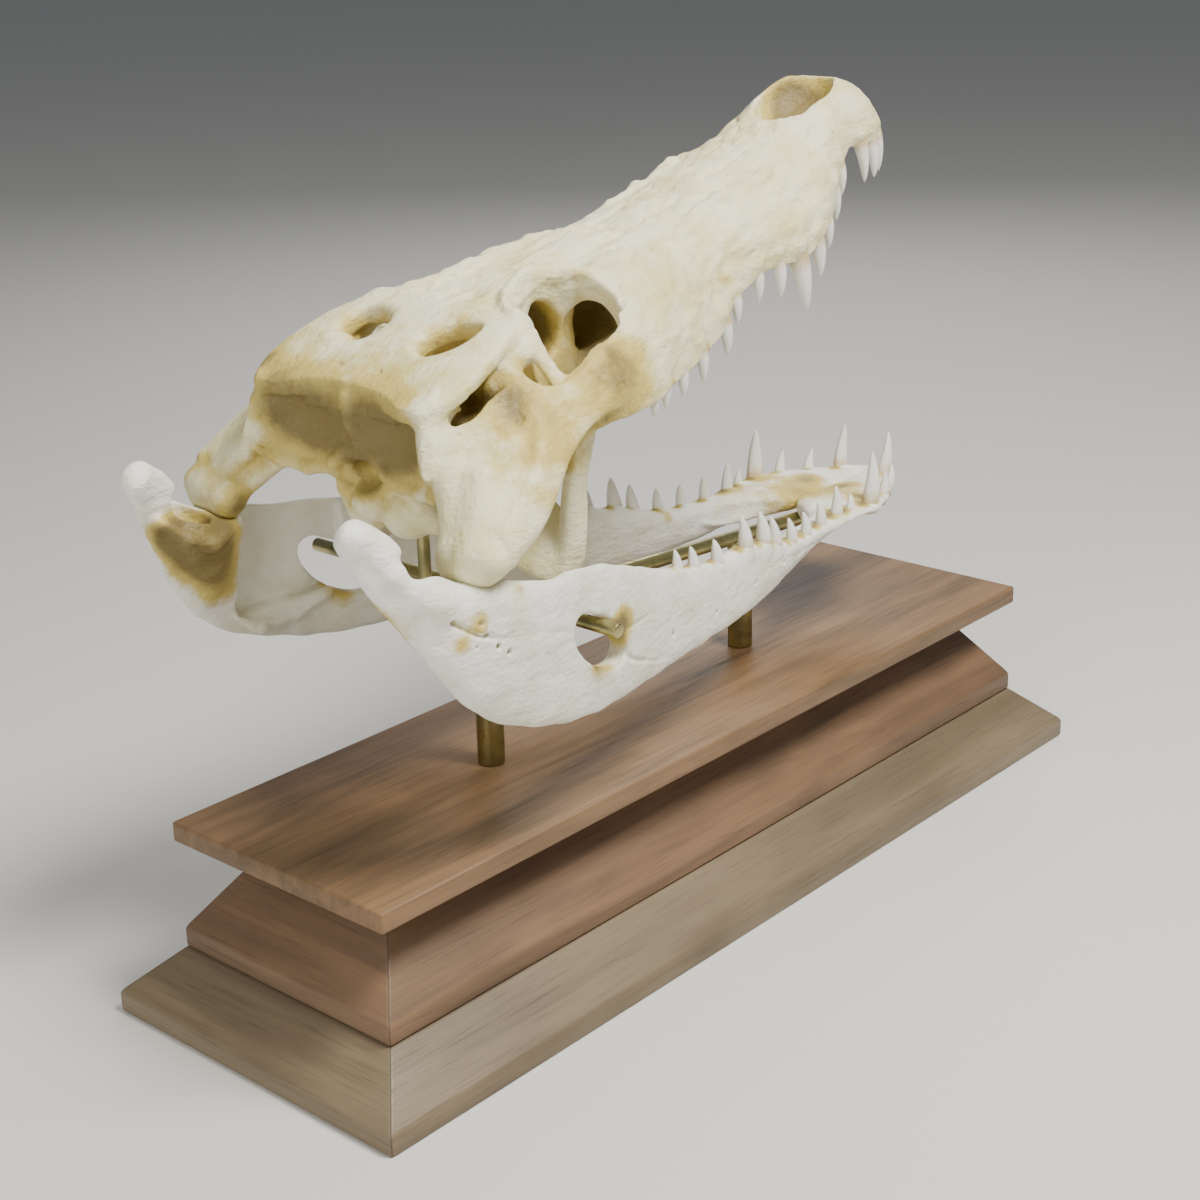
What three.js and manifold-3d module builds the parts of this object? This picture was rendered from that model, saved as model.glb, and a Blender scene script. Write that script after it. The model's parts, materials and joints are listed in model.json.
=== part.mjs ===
// Crocodile skull with open jaws, mounted on brass rods over a stepped walnut plinth.
// Millimetres, +X toward the snout, +Y the animal's left, +Z up, floor at z = 0.
import * as THREE from 'three';
import { mergeVertices } from 'three/addons/utils/BufferGeometryUtils.js';
import Module from 'manifold-3d';

const wasm = await Module();
wasm.setup();

// ---------------------------------------------------------------- plinth sizes
const PLINTH_LENGTH = 500;
const PLINTH_WIDTH = 168.6;
const TOP_LENGTH = 458;
const TOP_WIDTH = 127;
const MIDDLE_LENGTH = 457;
const MIDDLE_WIDTH = 126;
const BOTTOM_EDGE = 9.4;
const BOTTOM_HEIGHT = 29.1;
const BOTTOM_SLOPE = 21.3;
const MIDDLE_EDGE = 38.3;
const MIDDLE_HEIGHT = 78.2;
const MIDDLE_SLOPE = 30;
const TOP_HEIGHT = 87.7;
const JOINT_GAP = 0.3;
const MIDDLE_BASE = BOTTOM_HEIGHT + JOINT_GAP;
const TOP_BASE = MIDDLE_HEIGHT + JOINT_GAP;
const POST_BASE = TOP_HEIGHT + JOINT_GAP;

// ------------------------------------------------------------------ rod sizes
const POST_RADIUS = 6;
const POST_REAR_X = -104;
const POST_FRONT_X = 73;
const RAIL_RADIUS = 3.5;
const RAIL_REAR = [-142, 0, 160];
const RAIL_FRONT = [123, 0, 141];
const RAIL_CLEARANCE = 0.5;
const CROSS_ROD = { x: -118.6, z: 174, radius: 3, halfLength: 89 };
const SKULL_ROD = { x: -137, bottom: 164, top: 208.5, radius: 2.7 };
const STEM_RADIUS = 2.5;

// -------------------------------------------------------------- cranium frame
const JAW_JOINT = [-183, 0, 213];
const GAPE = THREE.MathUtils.degToRad(20);
const SAW_CUT = 0.3;
const ROSTRUM_CUT = 136;
const CHEEK_CUT = { y: 57, orbitU: 86, orbitY: 42 };
const REACH = 400;
const GUM_STEP = 3;
const GUM_SHARE = 0.35;
const TOOTH_ROOT = 5;
const TOOTH_SIDES = 5;
const WELD = 1e-4;
const SHORTEST_EDGE = 0.04;

const craniumFrame = new THREE.Matrix4()
  .makeRotationY(-GAPE)
  .setPosition(...JAW_JOINT);

// --------------------------------------------------------------- solid helpers
function toSolid(geometry) {
  const bare = geometry.clone();
  bare.deleteAttribute('normal');
  bare.deleteAttribute('uv');
  const welded = mergeVertices(bare, WELD);
  const points = welded.getAttribute('position');
  const index = Array.from(welded.index.array);
  const a = new THREE.Vector3();
  const b = new THREE.Vector3();
  const c = new THREE.Vector3();
  let volume = 0;
  const kept = [];
  for (let i = 0; i < index.length; i += 3) {
    const [p, q, r] = index.slice(i, i + 3);
    if (p === q || q === r || r === p) continue;
    kept.push(p, q, r);
    a.fromBufferAttribute(points, p);
    b.fromBufferAttribute(points, q);
    c.fromBufferAttribute(points, r);
    volume += a.dot(b.cross(c));
  }
  if (volume < 0) kept.reverse();
  return new wasm.Manifold(new wasm.Mesh({
    numProp: 3,
    vertProperties: Float32Array.from(points.array),
    triVerts: Uint32Array.from(kept),
  }));
}

function toGeometry(solid) {
  const mesh = solid.getMesh();
  const geometry = new THREE.BufferGeometry();
  geometry.setAttribute('position', new THREE.BufferAttribute(mesh.vertProperties, 3));
  geometry.setIndex(new THREE.BufferAttribute(mesh.triVerts, 1));
  return geometry;
}

function inFrame(geometry, frame) {
  return toSolid(geometry.clone().applyMatrix4(frame));
}

function unite(solids) {
  return solids.reduce((sum, next) => sum.add(next));
}

function mirrored(geometry) {
  return geometry.clone().scale(1, -1, 1);
}

function bothSides(geometry) {
  return [geometry, mirrored(geometry)];
}

function roundPower(value, power) {
  return Math.sign(value) * Math.abs(value) ** power;
}

// A tube of rings: ringPoint(row, cosine, sine) places a point of one ring.
function ringBody(rows, around, ringPoint) {
  const geometry = new THREE.CylinderGeometry(1, 1, 1, around, rows.length - 1);
  const position = geometry.getAttribute('position');
  for (let i = 0; i < position.count; i += 1) {
    const row = rows[Math.round((0.5 - position.getY(i)) * (rows.length - 1))];
    const point = ringPoint(row, position.getX(i), position.getZ(i));
    position.setXYZ(i, point.x, point.y, point.z);
  }
  return geometry;
}

// A bar or plate between two edge lines: rows of [edge A xyz, edge B xyz, thickness].
function blade(rows, around = 10, squareness = 0.8) {
  const rings = rows.map((row) => ({
    a: new THREE.Vector3(row[0], row[1], row[2]),
    b: new THREE.Vector3(row[3], row[4], row[5]),
    thickness: row[6],
    flare: row[7] ?? 0,
  }));
  rings.forEach((ring) => {
    ring.centre = ring.a.clone().add(ring.b).multiplyScalar(0.5);
    ring.half = ring.b.clone().sub(ring.a).multiplyScalar(0.5);
  });
  rings.forEach((ring, i) => {
    const before = rings[Math.max(0, i - 1)].centre;
    const after = rings[Math.min(rings.length - 1, i + 1)].centre;
    ring.across = after.clone().sub(before).cross(ring.half).normalize()
      .multiplyScalar(ring.thickness / 2);
  });
  return ringBody(rings, around, (ring, cosine, sine) => ring.centre.clone()
    .addScaledVector(ring.half, roundPower(cosine, squareness))
    .addScaledVector(ring.across, roundPower(sine, squareness) * (1 + ring.flare * cosine)));
}

// The same blade made thicker and wider all round by the gap.
function grown(rows, gap) {
  return rows.map(([ax, ay, az, bx, by, bz, thickness]) => {
    const a = new THREE.Vector3(ax, ay, az);
    const b = new THREE.Vector3(bx, by, bz);
    const outward = b.clone().sub(a).setLength(gap);
    return [...a.sub(outward).toArray(), ...b.add(outward).toArray(), thickness + 2 * gap];
  });
}

// Upper-jaw sections: the roof arches over from margin to margin, the palate is flat.
function jawBody(rows, around) {
  return ringBody(rows, around, ([u, half, margin, top, palate, roundness], cosine, sine) => {
    const y = half * roundPower(cosine, roundness);
    const inward = 1 - Math.abs(cosine);
    const roof = margin + (top - margin) * roundPower(sine, roundness);
    const gum = margin - GUM_STEP;
    const vault = gum + (palate - gum) * Math.min(1, inward / GUM_SHARE);
    const floor = inward > 0 ? vault : margin;
    return new THREE.Vector3(u, y, sine > 0 ? roof : floor);
  });
}

function ellipsoid(centre, radii, around = 14, rings = 8) {
  return new THREE.SphereGeometry(1, around, rings)
    .scale(...radii)
    .translate(...centre);
}

// An upright oval cutter from low to high, turned about its own axis.
function ovalShaft(centre, radii, low, high, turn = 0, around = 14) {
  const geometry = new THREE.CylinderGeometry(1, 1, high - low, around);
  return geometry
    .rotateX(Math.PI / 2)
    .scale(radii[0], radii[1], 1)
    .rotateZ(turn)
    .translate(centre[0], centre[1], (low + high) / 2);
}

// An upright cutter whose outline is a smooth closed curve through the rim points.
function rimShaft(rim, low, high, around = 15) {
  const curve = new THREE.CatmullRomCurve3(
    rim.map(([u, y]) => new THREE.Vector3(u, y, 0)), true,
  );
  const outline = curve.getPoints(around).slice(0, -1);
  const shape = new THREE.Shape(outline.map((point) => new THREE.Vector2(point.x, point.y)));
  return new THREE.ExtrudeGeometry(shape, { depth: high - low, bevelEnabled: false })
    .translate(0, 0, low);
}

function box(size, centre) {
  return new THREE.BoxGeometry(...size).translate(...centre);
}

function boxBetween({ u, y, w }) {
  const ranges = [u, y, w];
  return box(
    ranges.map(([low, high]) => high - low),
    ranges.map(([low, high]) => (low + high) / 2),
  );
}

function rodBetween(start, end, radius, around = 14) {
  const from = new THREE.Vector3(...start);
  const to = new THREE.Vector3(...end);
  const along = to.clone().sub(from);
  const turn = new THREE.Quaternion()
    .setFromUnitVectors(new THREE.Vector3(0, 1, 0), along.clone().normalize());
  return new THREE.CylinderGeometry(radius, radius, along.length(), around)
    .applyQuaternion(turn)
    .translate(...from.add(to).multiplyScalar(0.5).toArray());
}

// A tooth is a cone from its socket point to its tip, rooted a little below the gum.
function tooth(base, tip, radius) {
  const from = new THREE.Vector3(...base);
  const axis = new THREE.Vector3(...tip).sub(from);
  const length = axis.length();
  axis.normalize();
  const turn = new THREE.Quaternion()
    .setFromUnitVectors(new THREE.Vector3(0, 1, 0), axis);
  const rootRadius = radius * (1 + TOOTH_ROOT / length);
  return new THREE.ConeGeometry(rootRadius, length + TOOTH_ROOT, TOOTH_SIDES)
    .translate(0, (length - TOOTH_ROOT) / 2, 0)
    .applyQuaternion(turn)
    .translate(...base);
}

// ---------------------------------------------------------- cranium, local frame
// u runs forward from the jaw joint, y to the left, w up from the tooth row.
const ROSTRUM = [
  // u, half width, margin, top, palate, roundness
  [84, 71, 13, 49, -2, 0.95],
  [95, 73, 11, 50, -3, 1],
  [107, 72.5, 6, 50, -4, 1],
  [120, 69, 1, 49, -4, 0.95],
  [133, 65, -2, 46, -4, 0.9],
  [148, 61, -5, 42.5, -4, 0.85],
  [168, 54.5, -9, 38.5, -4, 0.86],
  [182, 50, -11, 36, -4, 0.9],
  [195, 46, -12, 33.5, -4, 0.92],
  [209, 43, -7, 32, -3, 0.92],
  [228, 42, -5, 30, -2, 0.92],
  [241, 44, -7, 29, -2, 0.92],
  [255, 46.5, -11, 27.5, -3, 0.92],
  [269, 46, -11, 26.5, -3, 0.92],
  [283, 43, -7, 26, -2, 0.92],
  [299, 38.5, -3, 26.5, -1, 0.9],
  [311, 34.5, -1, 28, 0, 0.85],
  [322, 29.5, 1, 31, 1, 0.78],
  [329, 27, 2, 32, 2, 0.74],
  [336, 29.5, 0, 31.5, 1, 0.74],
  [344, 31.5, -2, 29.5, 0, 0.78],
  [352, 29.5, -4, 25, -1, 0.82],
  [360, 22, -5, 18.5, -3, 0.85],
  [365, 12.5, -4, 11.5, -3, 0.9],
  [367.5, 3, -1, 4, -4, 0.9],
];
const TIP_BACK = 3;
const TIP_OUT = 1.5;
const ROSTRUM_TEETH = [
  // u, y, socket height, tip height, radius
  [123, 63.5, 0, -9, 3.0],
  [133, 61, -3, -12, 3.0],
  [148, 57.5, -6, -17, 3.3],
  [168, 51.5, -10, -23, 3.6],
  [195, 43.5, -12, -27, 4.0],
  [209, 40.5, -8, -20, 3.4],
  [228, 39, -6, -20, 3.6],
  [241.5, 40.5, -8, -25, 4.0],
  [254, 42.5, -12, -39, 5.2],
  [269, 42, -12, -30, 4.4],
  [282, 39.5, -8, -23, 3.7],
  [299, 35, -4, -19, 3.5],
  [312, 31, -2, -14, 3.2],
  [336, 26.5, -1, -20, 3.9],
  [344, 27, -3, -22, 4.3],
  [352, 24, -5, -23, 4.0],
  [358.5, 17, -6, -19, 3.4],
  [363, 7.5, -5, -16, 3.0],
];
const TABLE = [
  // u, half width, top, thickness
  [22, 46.5, 51.5, 7],
  [28, 51, 52.5, 9],
  [38, 54.5, 54, 10],
  [50, 54, 55, 10],
  [62, 52, 55.5, 10],
  [72, 49, 55.5, 10],
  [82, 45, 54.5, 10],
  [91, 39, 52.5, 10],
  [98, 29, 50.5, 10],
  [106, 17, 49, 10],
];
const BRAINCASE = [
  // u, half width, top, bottom
  [26, 22, 44, 2],
  [34, 24, 46, -6],
  [44, 20, 48, -14],
  [60, 15, 49, -14],
  [78, 12, 49, 2],
  [96, 9, 48, 22],
  [108, 8, 47, 30],
];
const OCCIPUT = [
  // lower edge, upper edge, thickness: from the midline outward
  [27, 0, -4, 35, 0, 47, 12],
  [27, 16, 4, 34, 18, 47, 12],
  [26, 30, 9.5, 32, 32, 47, 11],
  [22, 42, 14, 28, 42, 46, 10],
  [15, 49, 23, 23, 47, 45, 8],
  [11, 53, 29, 20, 50, 43, 5],
];
const QUADRATE = [
  // inner edge, outer edge, thickness: from the ear down to the jaw joint
  [58, 30, 42, 76, 44, 47, 8],
  [46, 34, 30, 68, 55, 40, 9],
  [34, 36, 17, 61, 66, 34, 9],
  [22, 41, 10, 48, 78, 23, 10],
  [10, 47, 2, 24, 86, 12, 12],
  [1, 51, -2, 8, 89.5, 9.5, 13],
  [-6, 54, 0, -5, 88, 9, 8],
];
const JUGAL = [
  // lower edge, upper edge, thickness: from the maxilla back to the jaw joint
  [132, 55, 4, 132, 50, 24, 5],
  [107, 69.5, 6, 107, 61, 30, 7],
  [92, 74.5, 12.5, 92, 65, 32, 8],
  [77, 77.5, 14, 79, 65, 33, 7.5],
  [63, 80.5, 8, 61, 64, 35, 7],
  [45, 84, 1, 50, 74, 28, 7],
  [25, 87.5, 0, 28, 83, 20, 7],
  [8, 88.5, 2, 9, 86, 15, 6],
];
const POSTORBITAL_BAR = [
  // front edge, rear edge, thickness: from the table down to the jugal
  [94, 36, 50, 84, 36, 50, 8],
  [92, 44, 45, 84, 44, 45, 6],
  [92, 52, 38, 84, 52, 37, 5.5],
  [96, 60, 31, 86, 60, 29, 6],
  [102, 65, 26, 84, 66, 23, 7],
];
const PTERYGOID = [
  // front edge, rear edge, thickness: from the midline out to the flange
  [92, 0, -6, 38, 0, -14, 12],
  [86, 14, -10, 42, 14, -20, 8],
  [80, 30, -18, 44, 30, -30, 6],
  [76, 44, -28, 48, 44, -42, 6],
  [76, 53, -34, 54, 53, -52, 7],
];
const ECTOPTERYGOID = [
  // front edge, rear edge, thickness: from the jugal down to the flange
  [98, 65, 12, 80, 66, 16, 7],
  [92, 59, 0, 77, 60, 2, 7],
  [84, 55, -16, 69, 56, -18, 7],
  [80, 54, -30, 62, 54, -36, 7],
  [75, 53.5, -42, 56, 53.5, -50, 6],
  [70, 53, -50, 60, 53, -54, 4],
];
const CONDYLE = { centre: [22, 0, 1], radii: [8, 9, 8] };
const FORAMEN_MAGNUM = { centre: [24, 0, 14], radii: [14, 8, 6] };
const NARIS = { centre: [332, 0, 29], radii: [19.5, 15, 15] };
const REAR_NOTCH = { centre: [14, 0], radii: [16, 44], low: 44, high: 60 };
const ORBIT_RIM = [
  [88, 44],
  [92, 35],
  [98, 28.5],
  [106, 23],
  [117, 19.5],
  [128, 20],
  [137, 27],
  [139, 38],
  [133, 50],
  [121, 57],
  [107, 59],
  [95, 57],
  [88, 51],
];
const BROW = [
  // lower edge, upper edge, thickness: along the inner rim of the eye socket
  [84, 45, 44, 84, 45, 50, 5],
  [90, 36, 44, 90, 36, 54, 6],
  [95, 28, 43, 95, 28, 55, 6.5],
  [104, 20, 41, 104, 21, 54, 6.5],
  [116, 15.5, 40, 116, 17, 52.5, 6],
  [128, 15.5, 38, 128, 17.5, 50, 6],
  [137, 22, 35, 137, 23, 45.5, 6],
  [146, 32, 28, 146, 32, 36, 5],
];
const TEMPORAL_RIM = [
  [50, 26],
  [53, 31.5],
  [61, 36],
  [69, 37],
  [76, 33],
  [78, 27],
  [75, 18],
  [68, 12.5],
  [61, 12],
  [55, 17],
];
const TEMPORAL_DEPTH = [30, 70];
const ORBIT_DEPTH = [-30, 70];
const PALATE_WINDOW = { centre: [122, 31], radii: [40, 14], low: -30, high: 14, turn: -0.25 };
const INTERORBITAL_WINDOW = { u: [96, 126], y: [-34, 34], w: [8, 40] };
const TEMPORAL_PASSAGE = { u: [78, 100], y: [14, 61], w: [-10, 41] };

function tableBody() {
  return ringBody(TABLE, 12, ([u, half, top, thickness], cosine, sine) => (
    new THREE.Vector3(
      u,
      half * roundPower(cosine, 0.5),
      top - thickness / 2 + (thickness / 2) * roundPower(sine, 0.5),
    )
  ));
}

function braincaseBody() {
  return ringBody(BRAINCASE, 8, ([u, half, top, bottom], cosine, sine) => (
    new THREE.Vector3(
      u,
      half * roundPower(cosine, 0.8),
      (top + bottom) / 2 + ((top - bottom) / 2) * roundPower(sine, 0.8),
    )
  ));
}

const put = (geometry) => inFrame(geometry, craniumFrame);

function craniumSolid() {
  const shell = [
    jawBody(ROSTRUM, 16),
    tableBody(),
    braincaseBody(),
    ellipsoid(CONDYLE.centre, CONDYLE.radii, 10, 6),
    ...bothSides(blade(OCCIPUT, 6)),
    ...bothSides(blade(BROW, 5)),
    ...bothSides(blade(PTERYGOID, 6)),
  ].map(put);
  const arches = [
    ...bothSides(blade(QUADRATE, 8)),
    ...bothSides(blade(JUGAL, 6)),
    ...bothSides(blade(POSTORBITAL_BAR, 6)),
    ...bothSides(blade(ECTOPTERYGOID, 6)),
  ].map(put);
  const openings = [
    ellipsoid(NARIS.centre, NARIS.radii, 12, 6),
    ellipsoid(FORAMEN_MAGNUM.centre, FORAMEN_MAGNUM.radii, 8, 4),
    ovalShaft(REAR_NOTCH.centre, REAR_NOTCH.radii, REAR_NOTCH.low, REAR_NOTCH.high),
    ...bothSides(rimShaft(ORBIT_RIM, ...ORBIT_DEPTH)),
    ...bothSides(ovalShaft(
      PALATE_WINDOW.centre, PALATE_WINDOW.radii,
      PALATE_WINDOW.low, PALATE_WINDOW.high, PALATE_WINDOW.turn,
    )),
    boxBetween(INTERORBITAL_WINDOW),
    ...bothSides(boxBetween(TEMPORAL_PASSAGE)),
  ].map(put);
  const temporal = bothSides(rimShaft(TEMPORAL_RIM, ...TEMPORAL_DEPTH)).map(put);
  const teeth = ROSTRUM_TEETH.flatMap(([u, y, socket, tip, radius]) => (
    bothSides(tooth([u, y, socket], [u - TIP_BACK, y + TIP_OUT, tip], radius))
  )).map(put);
  return unite(shell)
    .subtract(unite(openings))
    .add(unite(arches))
    .subtract(unite(temporal))
    .add(unite(teeth));
}

// The rostrum, braincase and cheeks are one bone, parted by thin saw cuts.
function craniumPieces() {
  const whole = craniumSolid();
  const gap = SAW_CUT / 2;
  const full = [-REACH, REACH];
  const front = put(boxBetween({ u: [ROSTRUM_CUT + gap, REACH], y: full, w: full }));
  const back = put(boxBetween({ u: [-REACH, ROSTRUM_CUT - gap], y: full, w: full }));
  const beside = (inset, turned) => unite([
    { u: full, y: [CHEEK_CUT.y + inset, REACH], w: full },
    { u: [CHEEK_CUT.orbitU + inset, REACH], y: [CHEEK_CUT.orbitY + inset, REACH], w: full },
  ].map(boxBetween).map((geometry) => put(turned ? mirrored(geometry) : geometry)));
  const rear = whole.intersect(back);
  return {
    rostrum: whole.intersect(front),
    braincase: rear.subtract(beside(-gap, false)).subtract(beside(-gap, true)),
    cheekLeft: rear.intersect(beside(gap, false)),
    cheekRight: rear.intersect(beside(gap, true)),
  };
}

// ---------------------------------------------------------------- lower jaw, world
const RAMUS = [
  // lower edge, upper edge, thickness, flare: from the retroarticular tip forward
  [-233, 60, 234, -225, 60, 240, 7, 0],
  [-229, 63, 221, -217, 64, 236, 10, 0.3],
  [-221, 68, 206, -206, 68, 223, 13, 0.4],
  [-210, 75, 188, -196, 71, 212, 18, 0.5],
  [-199, 79, 171, -184, 71.5, 211, 24, 0.5],
  [-186, 80, 157.5, -168, 77, 207, 17, 0.4],
  [-170, 80, 149, -150, 79.5, 202.5, 13, 0.2],
  [-150, 79.5, 142.5, -132, 77.5, 200.5, 10, 0],
  [-128, 76.5, 137.5, -112, 74.5, 197, 10, 0],
  [-100, 71.5, 135.5, -88, 70, 188, 10.5, 0],
  [-70, 65, 134.5, -62, 63, 178.5, 11, 0],
  [-40, 58.5, 134, -36, 57, 170.5, 12, 0],
  [-5, 51.5, 132.5, -5, 50, 165, 12.5, 0],
  [30, 44.5, 131, 30, 43, 161.5, 13, 0],
  [60, 38.5, 131, 60, 37.5, 153, 13.5, 0],
  [85, 33.5, 133, 85, 34, 151.5, 14, 0],
  [108, 28, 137, 108, 31, 152, 16, 0],
];
const CHIN = [
  // x, outer half width, inner half width, bottom, top
  [98, 41, 24, 136, 152],
  [112, 41, 13, 138.5, 152.5],
  [124, 41.5, 0, 140.5, 153],
  [138, 41.5, 0, 142, 153],
  [152, 37.5, 0, 142.5, 152.5],
  [166, 29.5, 0, 143.5, 151],
  [177, 20.5, 0, 144.5, 151.5],
  [187, 11.5, 0, 146, 151],
  [194, 4, 0, 148, 150.5],
];
const LOWER_TEETH = [
  // x, y, socket height, tip x, tip height, radius
  [182, 13, 151, 187, 173, 4.0],
  [169, 24.5, 150, 173, 161, 3.2],
  [153, 31.5, 151, 156, 163, 3.2],
  [136.5, 35.5, 152, 138, 177.5, 4.8],
  [120, 34, 152, 121, 160, 3.0],
  [109.5, 33, 152, 110, 166.5, 3.6],
  [93.5, 35, 151.5, 92, 164, 3.4],
  [77.5, 37.5, 151.5, 76, 163, 3.3],
  [62, 40, 153, 60.5, 164.5, 3.3],
  [45.5, 42.5, 156.5, 43, 170, 3.8],
  [34, 44.5, 161, 31.5, 176, 4.2],
  [16, 47.5, 164.5, 13.5, 179, 4.0],
  [-11, 52, 165, -12.5, 176, 3.6],
  [-33, 56, 169.5, -34, 179.5, 3.3],
  [-48, 59, 173.5, -48.5, 182.5, 3.0],
];
const JAW_WINDOW = { x: -121, z: 170, radii: [22, 11], tilt: 0.62, depth: 120 };
const SOCKET_GAP = 0.8;
const CHIN_SEAM = { u: [80, 240], y: [-50, SAW_CUT / 2], w: [100, 200] };

function chinBody() {
  return ringBody(CHIN, 12, ([x, outer, inner, bottom, top], cosine, sine) => (
    new THREE.Vector3(
      x,
      (outer + inner) / 2 + ((outer - inner) / 2) * roundPower(cosine, 0.75),
      (top + bottom) / 2 + ((top - bottom) / 2) * roundPower(sine, 0.75),
    )
  ));
}

function leftMandible() {
  const teeth = LOWER_TEETH.map(([x, y, socket, tipX, tip, radius]) => (
    toSolid(tooth([x, y, socket], [tipX, y + 0.5, tip], radius))
  ));
  const jawWindow = ovalShaft([0, 0], JAW_WINDOW.radii, 0, JAW_WINDOW.depth)
    .rotateX(Math.PI / 2)
    .rotateY(JAW_WINDOW.tilt)
    .translate(JAW_WINDOW.x, JAW_WINDOW.depth, JAW_WINDOW.z);
  const socket = [QUADRATE, JUGAL].map((rows) => put(blade(grown(rows, SOCKET_GAP), 10)));
  return toSolid(blade(RAMUS, 8, 0.72))
    .add(toSolid(chinBody()))
    .subtract(toSolid(jawWindow))
    .subtract(toSolid(boxBetween(CHIN_SEAM)))
    .subtract(unite(socket))
    .add(unite(teeth));
}

// ---------------------------------------------------------------------- plinth
function moulding(length, width, low, edge, high, slope) {
  const rows = [
    [low, length / 2, width / 2],
    [edge, length / 2, width / 2],
    [high, length / 2 - slope, width / 2 - slope],
  ];
  const geometry = new THREE.CylinderGeometry(Math.SQRT2, Math.SQRT2, 2, 4, 2)
    .rotateX(Math.PI / 2)
    .rotateZ(Math.PI / 4);
  const position = geometry.getAttribute('position');
  for (let i = 0; i < position.count; i += 1) {
    const [z, halfLength, halfWidth] = rows[Math.round(position.getZ(i)) + 1];
    position.setXYZ(i, position.getX(i) * halfLength, position.getY(i) * halfWidth, z);
  }
  return toSolid(geometry);
}

// ---------------------------------------------------------------------- scene
function material(color, roughness, metalness = 0) {
  return new THREE.MeshStandardMaterial({ color, roughness, metalness });
}

function toMesh(name, solid, look) {
  const part = new THREE.Mesh(toGeometry(solid.asOriginal().simplify(SHORTEST_EDGE)), look);
  part.name = name;
  return part;
}

const bone = () => material('#e8e0c8', 0.55);
const walnut = () => material('#6b5340', 0.5);
const brass = () => material('#a8935a', 0.3, 1);

function railAxis(x) {
  const share = (x - RAIL_REAR[0]) / (RAIL_FRONT[0] - RAIL_REAR[0]);
  return THREE.MathUtils.lerp(RAIL_REAR[2], RAIL_FRONT[2], share);
}

function postTop(x) {
  return railAxis(x) - RAIL_RADIUS - RAIL_CLEARANCE;
}

function post(x) {
  return toSolid(rodBetween([x, 0, POST_BASE], [x, 0, postTop(x)], POST_RADIUS));
}

function crossRod({ x, z, radius, halfLength }) {
  return toSolid(rodBetween([x, -halfLength, z], [x, halfLength, z], radius));
}

function uprightRod({ x, bottom, top, radius }) {
  return toSolid(rodBetween([x, 0, bottom], [x, 0, top], radius));
}

// The short rod that carries the cross rod on the rail.
const stem = {
  x: CROSS_ROD.x,
  bottom: railAxis(CROSS_ROD.x) + RAIL_RADIUS + RAIL_CLEARANCE,
  top: CROSS_ROD.z - CROSS_ROD.radius - JOINT_GAP,
  radius: STEM_RADIUS,
};

const plinthBottom = moulding(
  PLINTH_LENGTH, PLINTH_WIDTH, 0, BOTTOM_EDGE, BOTTOM_HEIGHT, BOTTOM_SLOPE,
);
const plinthMiddle = moulding(
  MIDDLE_LENGTH, MIDDLE_WIDTH, MIDDLE_BASE, MIDDLE_EDGE, MIDDLE_HEIGHT, MIDDLE_SLOPE,
);
const plinthTop = toSolid(box(
  [TOP_LENGTH, TOP_WIDTH, TOP_HEIGHT - TOP_BASE],
  [0, 0, (TOP_HEIGHT + TOP_BASE) / 2],
));
const mandible = leftMandible();
const cranium = craniumPieces();

const model = new THREE.Group();
model.name = 'crocodile_skull';
model.add(
  toMesh('rostrum', cranium.rostrum, bone()),
  toMesh('braincase', cranium.braincase, bone()),
  toMesh('cheek_left', cranium.cheekLeft, bone()),
  toMesh('cheek_right', cranium.cheekRight, bone()),
  toMesh('mandible_left', mandible, bone()),
  toMesh('mandible_right', toSolid(mirrored(toGeometry(mandible))), bone()),
  toMesh('plinth_bottom', plinthBottom, walnut()),
  toMesh('plinth_middle', plinthMiddle, walnut()),
  toMesh('plinth_top', plinthTop, walnut()),
  toMesh('post_rear', post(POST_REAR_X), brass()),
  toMesh('post_front', post(POST_FRONT_X), brass()),
  toMesh('rail', toSolid(rodBetween(RAIL_REAR, RAIL_FRONT, RAIL_RADIUS)), brass()),
  toMesh('rod_cross', crossRod(CROSS_ROD), brass()),
  toMesh('rod_stem', uprightRod(stem), brass()),
  toMesh('rod_cranium', uprightRod(SKULL_ROD), brass()),
);

export default model;
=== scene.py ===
# %% [markdown]
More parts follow.
